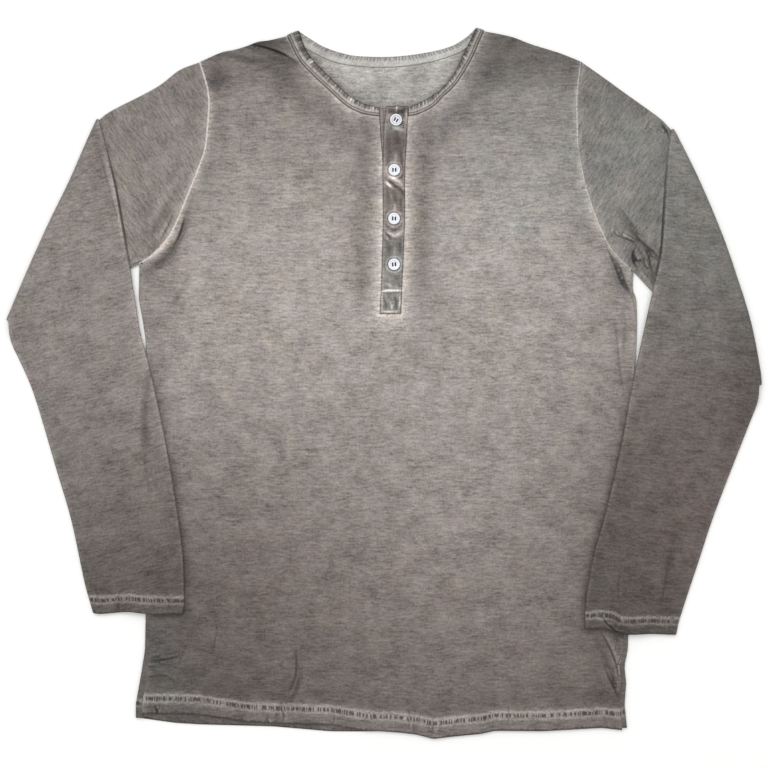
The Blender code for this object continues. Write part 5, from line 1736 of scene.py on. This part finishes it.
def sew(name, onto, paths, thread, look=sewing):
    bpy.ops.object.select_all(action="DESELECT")
    bpy.ops.mesh.primitive_uv_sphere_add(segments=6, ring_count=4, radius=0.5)
    stitch = bpy.context.object
    shape = np.array([v.co for v in stitch.data.vertices]) * (look["length"], look["thick"], look["thick"])
    faces = [tuple(p.vertices) for p in stitch.data.polygons]
    bpy.data.objects.remove(stitch, do_unlink=True)
    middle = np.array(laid["middle"])
    places, corners = [], []
    for path in paths:
        lengths = lengthsOf(path)
        count = max(1, int(lengths[-1] / (look["length"] + look["gap"])))
        shares = (np.arange(count) + 0.5) / count
        spots = along(path, shares)
        headings = along(path, np.clip(shares + 0.002, 0, 1)) - along(path, np.clip(shares - 0.002, 0, 1))
        for spot, heading in zip(spots, headings):
            flat = (spot - middle) * mm
            hit, found, _, _ = onto.ray_cast(Vector((*flat, 0.05)), Vector((0, 0, -1)))
            if not hit:
                continue
            heading = heading / np.linalg.norm(heading)
            x = shape[:, 0] * heading[0] - shape[:, 1] * heading[1]
            y = shape[:, 0] * heading[1] + shape[:, 1] * heading[0]
            z = shape[:, 2] + look["thick"] / 2 - look["sink"]
            corners += [[index + len(places) * len(shape) for index in face] for face in faces]
            places.append(np.column_stack([x, y, z]) * mm + (*flat, found.z))
    mesh = bpy.data.meshes.new(name)
    mesh.from_pydata(np.concatenate(places).tolist(), [], corners)
    mesh.shade_smooth()
    piece = bpy.data.objects.new(name, mesh)
    bpy.context.scene.collection.objects.link(piece)
    finished(piece, (thread,))
    print(name, "sewn,", len(places), "stitches")
    return piece


# Two core-spun threads: one took the dye as the cloth did, one is the dark thread of the buttons
def threadMaterial(name, code, sheen):
    material, tree, shader = newMaterial(name)
    place = addNode(tree, "ShaderNodeTexCoord", out="Object")
    twist = addNoise(tree, place, 0.4, 2.0)
    light = [min(1.0, c * 1.25) for c in linear(code)[:3]] + [1.0]
    dark = [c * 0.75 for c in linear(code)[:3]] + [1.0]
    colour = mixed(tree, twist, dark, light)
    fillInputs(tree, shader, {"Base Color": colour, "Roughness": 0.6, "Sheen Weight": sheen})
    return material


# Polyester resin: cast in rods, sliced, turned and tumbled, so it is white, faintly blue and glossy
def resinMaterial():
    material, tree, shader = newMaterial("castPolyesterResin")
    place = addNode(tree, "ShaderNodeTexCoord", out="Object")
    milky = addNoise(tree, place, 5.0, 3.0)
    colour = mixed(tree, milky, linear("#e3e6f0"), linear("#fbfcff"))
    # painted shade in the groove inside the rim
    grime = addNode(tree, "ShaderNodeAttribute", attribute_name="grime", out="Fac")
    colour = mixed(tree, grime, colour, linear("#5d5663"))
    values = {"Base Color": colour, "Roughness": 0.28, "IOR": 1.55, "Subsurface Weight": 0.1}
    fillInputs(tree, shader, {**values, "Subsurface Radius": (0.001, 0.001, 0.001)})
    return material


# Stage: pale floor, soft light from above and a long lens looking straight down

stage = {
    "floor": "#fbfbfa",
    "lens": 85.0,
    "pixel": 1.06,  # what one of the picture's 768 pixels covers
    "picture": 768,
    "centre": (-0.53, -0.53),
    "height": 4.0,  # the level that the scale holds at
    "sky": 0.75,
    # name, place and size in metres, power
    "lights": (("key", (-0.9, 1.5, 2.2), 1.6, 26.0), ("fill", (1.2, -0.6, 2.6), 2.2, 12.0)),
}


def addStage():
    bpy.ops.object.select_all(action="DESELECT")
    bpy.ops.mesh.primitive_plane_add(size=8, location=(0, 0, -0.0002))
    floor = bpy.context.object
    floor.name = "floor"
    material, tree, shader = newMaterial("pale floor")
    fillInputs(tree, shader, {"Base Color": linear(stage["floor"]), "Roughness": 0.9})
    floor.data.materials.append(material)

    world = bpy.data.worlds.new("soft room")
    bpy.context.scene.world = world
    world.use_nodes = True
    background = world.node_tree.nodes["Background"]
    fillInputs(world.node_tree, background, {"Color": (1, 1, 1, 1), "Strength": stage["sky"]})
    for name, place, size, power in stage["lights"]:
        lamp = bpy.data.lights.new(name, "AREA")
        lamp.size = size
        lamp.energy = power
        holder = bpy.data.objects.new(name, lamp)
        holder.location = place
        holder.rotation_euler = (-Vector(place)).to_track_quat("-Z", "Y").to_euler()
        bpy.context.scene.collection.objects.link(holder)

    camera = bpy.data.cameras.new("camera")
    camera.lens = stage["lens"]
    camera.sensor_width = 36.0
    width = stage["pixel"] * stage["picture"] * mm
    holder = bpy.data.objects.new("camera", camera)
    distance = width * camera.lens / camera.sensor_width
    x, y = np.array(stage["centre"]) - laid["middle"]
    holder.location = (x * mm, y * mm, distance + stage["height"] * mm)
    bpy.context.scene.collection.objects.link(holder)
    bpy.context.scene.camera = holder
    bpy.context.scene.view_settings.view_transform = "Standard"
    print("stage set")


def sewAll(pieces, thread, dark):
    body, sleeveLeft, sleeveRight, neck, upper = pieces
    path = hemPath(*sewing["hemSpan"], "frontHem", 120)
    rows = [path + (0, laid["hemDepth"] + up) for up in sewing["hemRows"]]
    sew("stitchesHem", body, rows, thread)
    rows = []
    for side, hand in (("left", -1), ("right", 1)):
        seam = curveOf(side + "NeckSeam")
        for inwards in sewing["neckRows"]:
            rows.append(offsetPath(seam, hand * inwards))
    sew("stitchesNeck", neck, rows, thread)
    for name, sleeve, onto in (
        ("stitchesCuffLeft", leftSleeve, sleeveLeft),
        ("stitchesCuffRight", rightSleeve, sleeveRight),
    ):
        cuff = smoothCurve(sleeve["cuff"])
        rows = [cuff + (0, laid["cuffDepth"] + out) for out in sewing["cuffRows"]]
        sew(name, onto, rows, thread)
    left, right = placketEdges()
    inset = sewing["placketInset"]
    rows = [left + (inset, 0), right - (inset, 0)]
    for start, end, height in ((*sewing["boxRow"], placket["boxHeight"]), sewing["lowRow"]):
        rows.append(np.array([(start, height), (end, height)], float))
    sew("stitchesPlacket", upper, rows, thread)
    start, end, slope = sewing["tackRow"]
    tacks = [np.array([(start, y), (end, y + slope)]) for y in sewing["tackHeights"]]
    sew("barTack", upper, tacks, dark, tacking)


def build():
    outside = jersey("slubJerseyWashed")
    inside = jersey("slubJerseyInside", slubbing=0.10, streaking=0.06, graining=0.08, clouding=0.08)
    bound = jersey("slubJerseyBinding", slubbing=0.14, streaking=0.08)
    strip = jersey("slubJerseyPlacket", slubbing=0.22, streaking=0.14, graining=0.17, roughness=0.6)
    sewn = threadMaterial("coreSpunThreadDyed", "#7a726b", 0.2)
    dark = threadMaterial("coreSpunThreadDark", "#2b2a30", 0.1)
    resin = resinMaterial()
    rear = addBack(outside, inside)
    body = addFront(outside, inside)
    sleeveLeft = addSleeve("sleeveLeft", "sleeve_left", leftSleeve, outside, inside)
    sleeveRight = addSleeve("sleeveRight", "sleeve_right", rightSleeve, outside, inside)
    neck = addBinding(bound)
    upper, under = addPlacket(strip, inside)
    for number, (x, y) in enumerate(button["places"], start=1):
        addButton(number, x, y, resin, dark)
    print("buttons made")
    sewAll((body, sleeveLeft, sleeveRight, neck, upper), sewn, dark)
    addStage()


build()
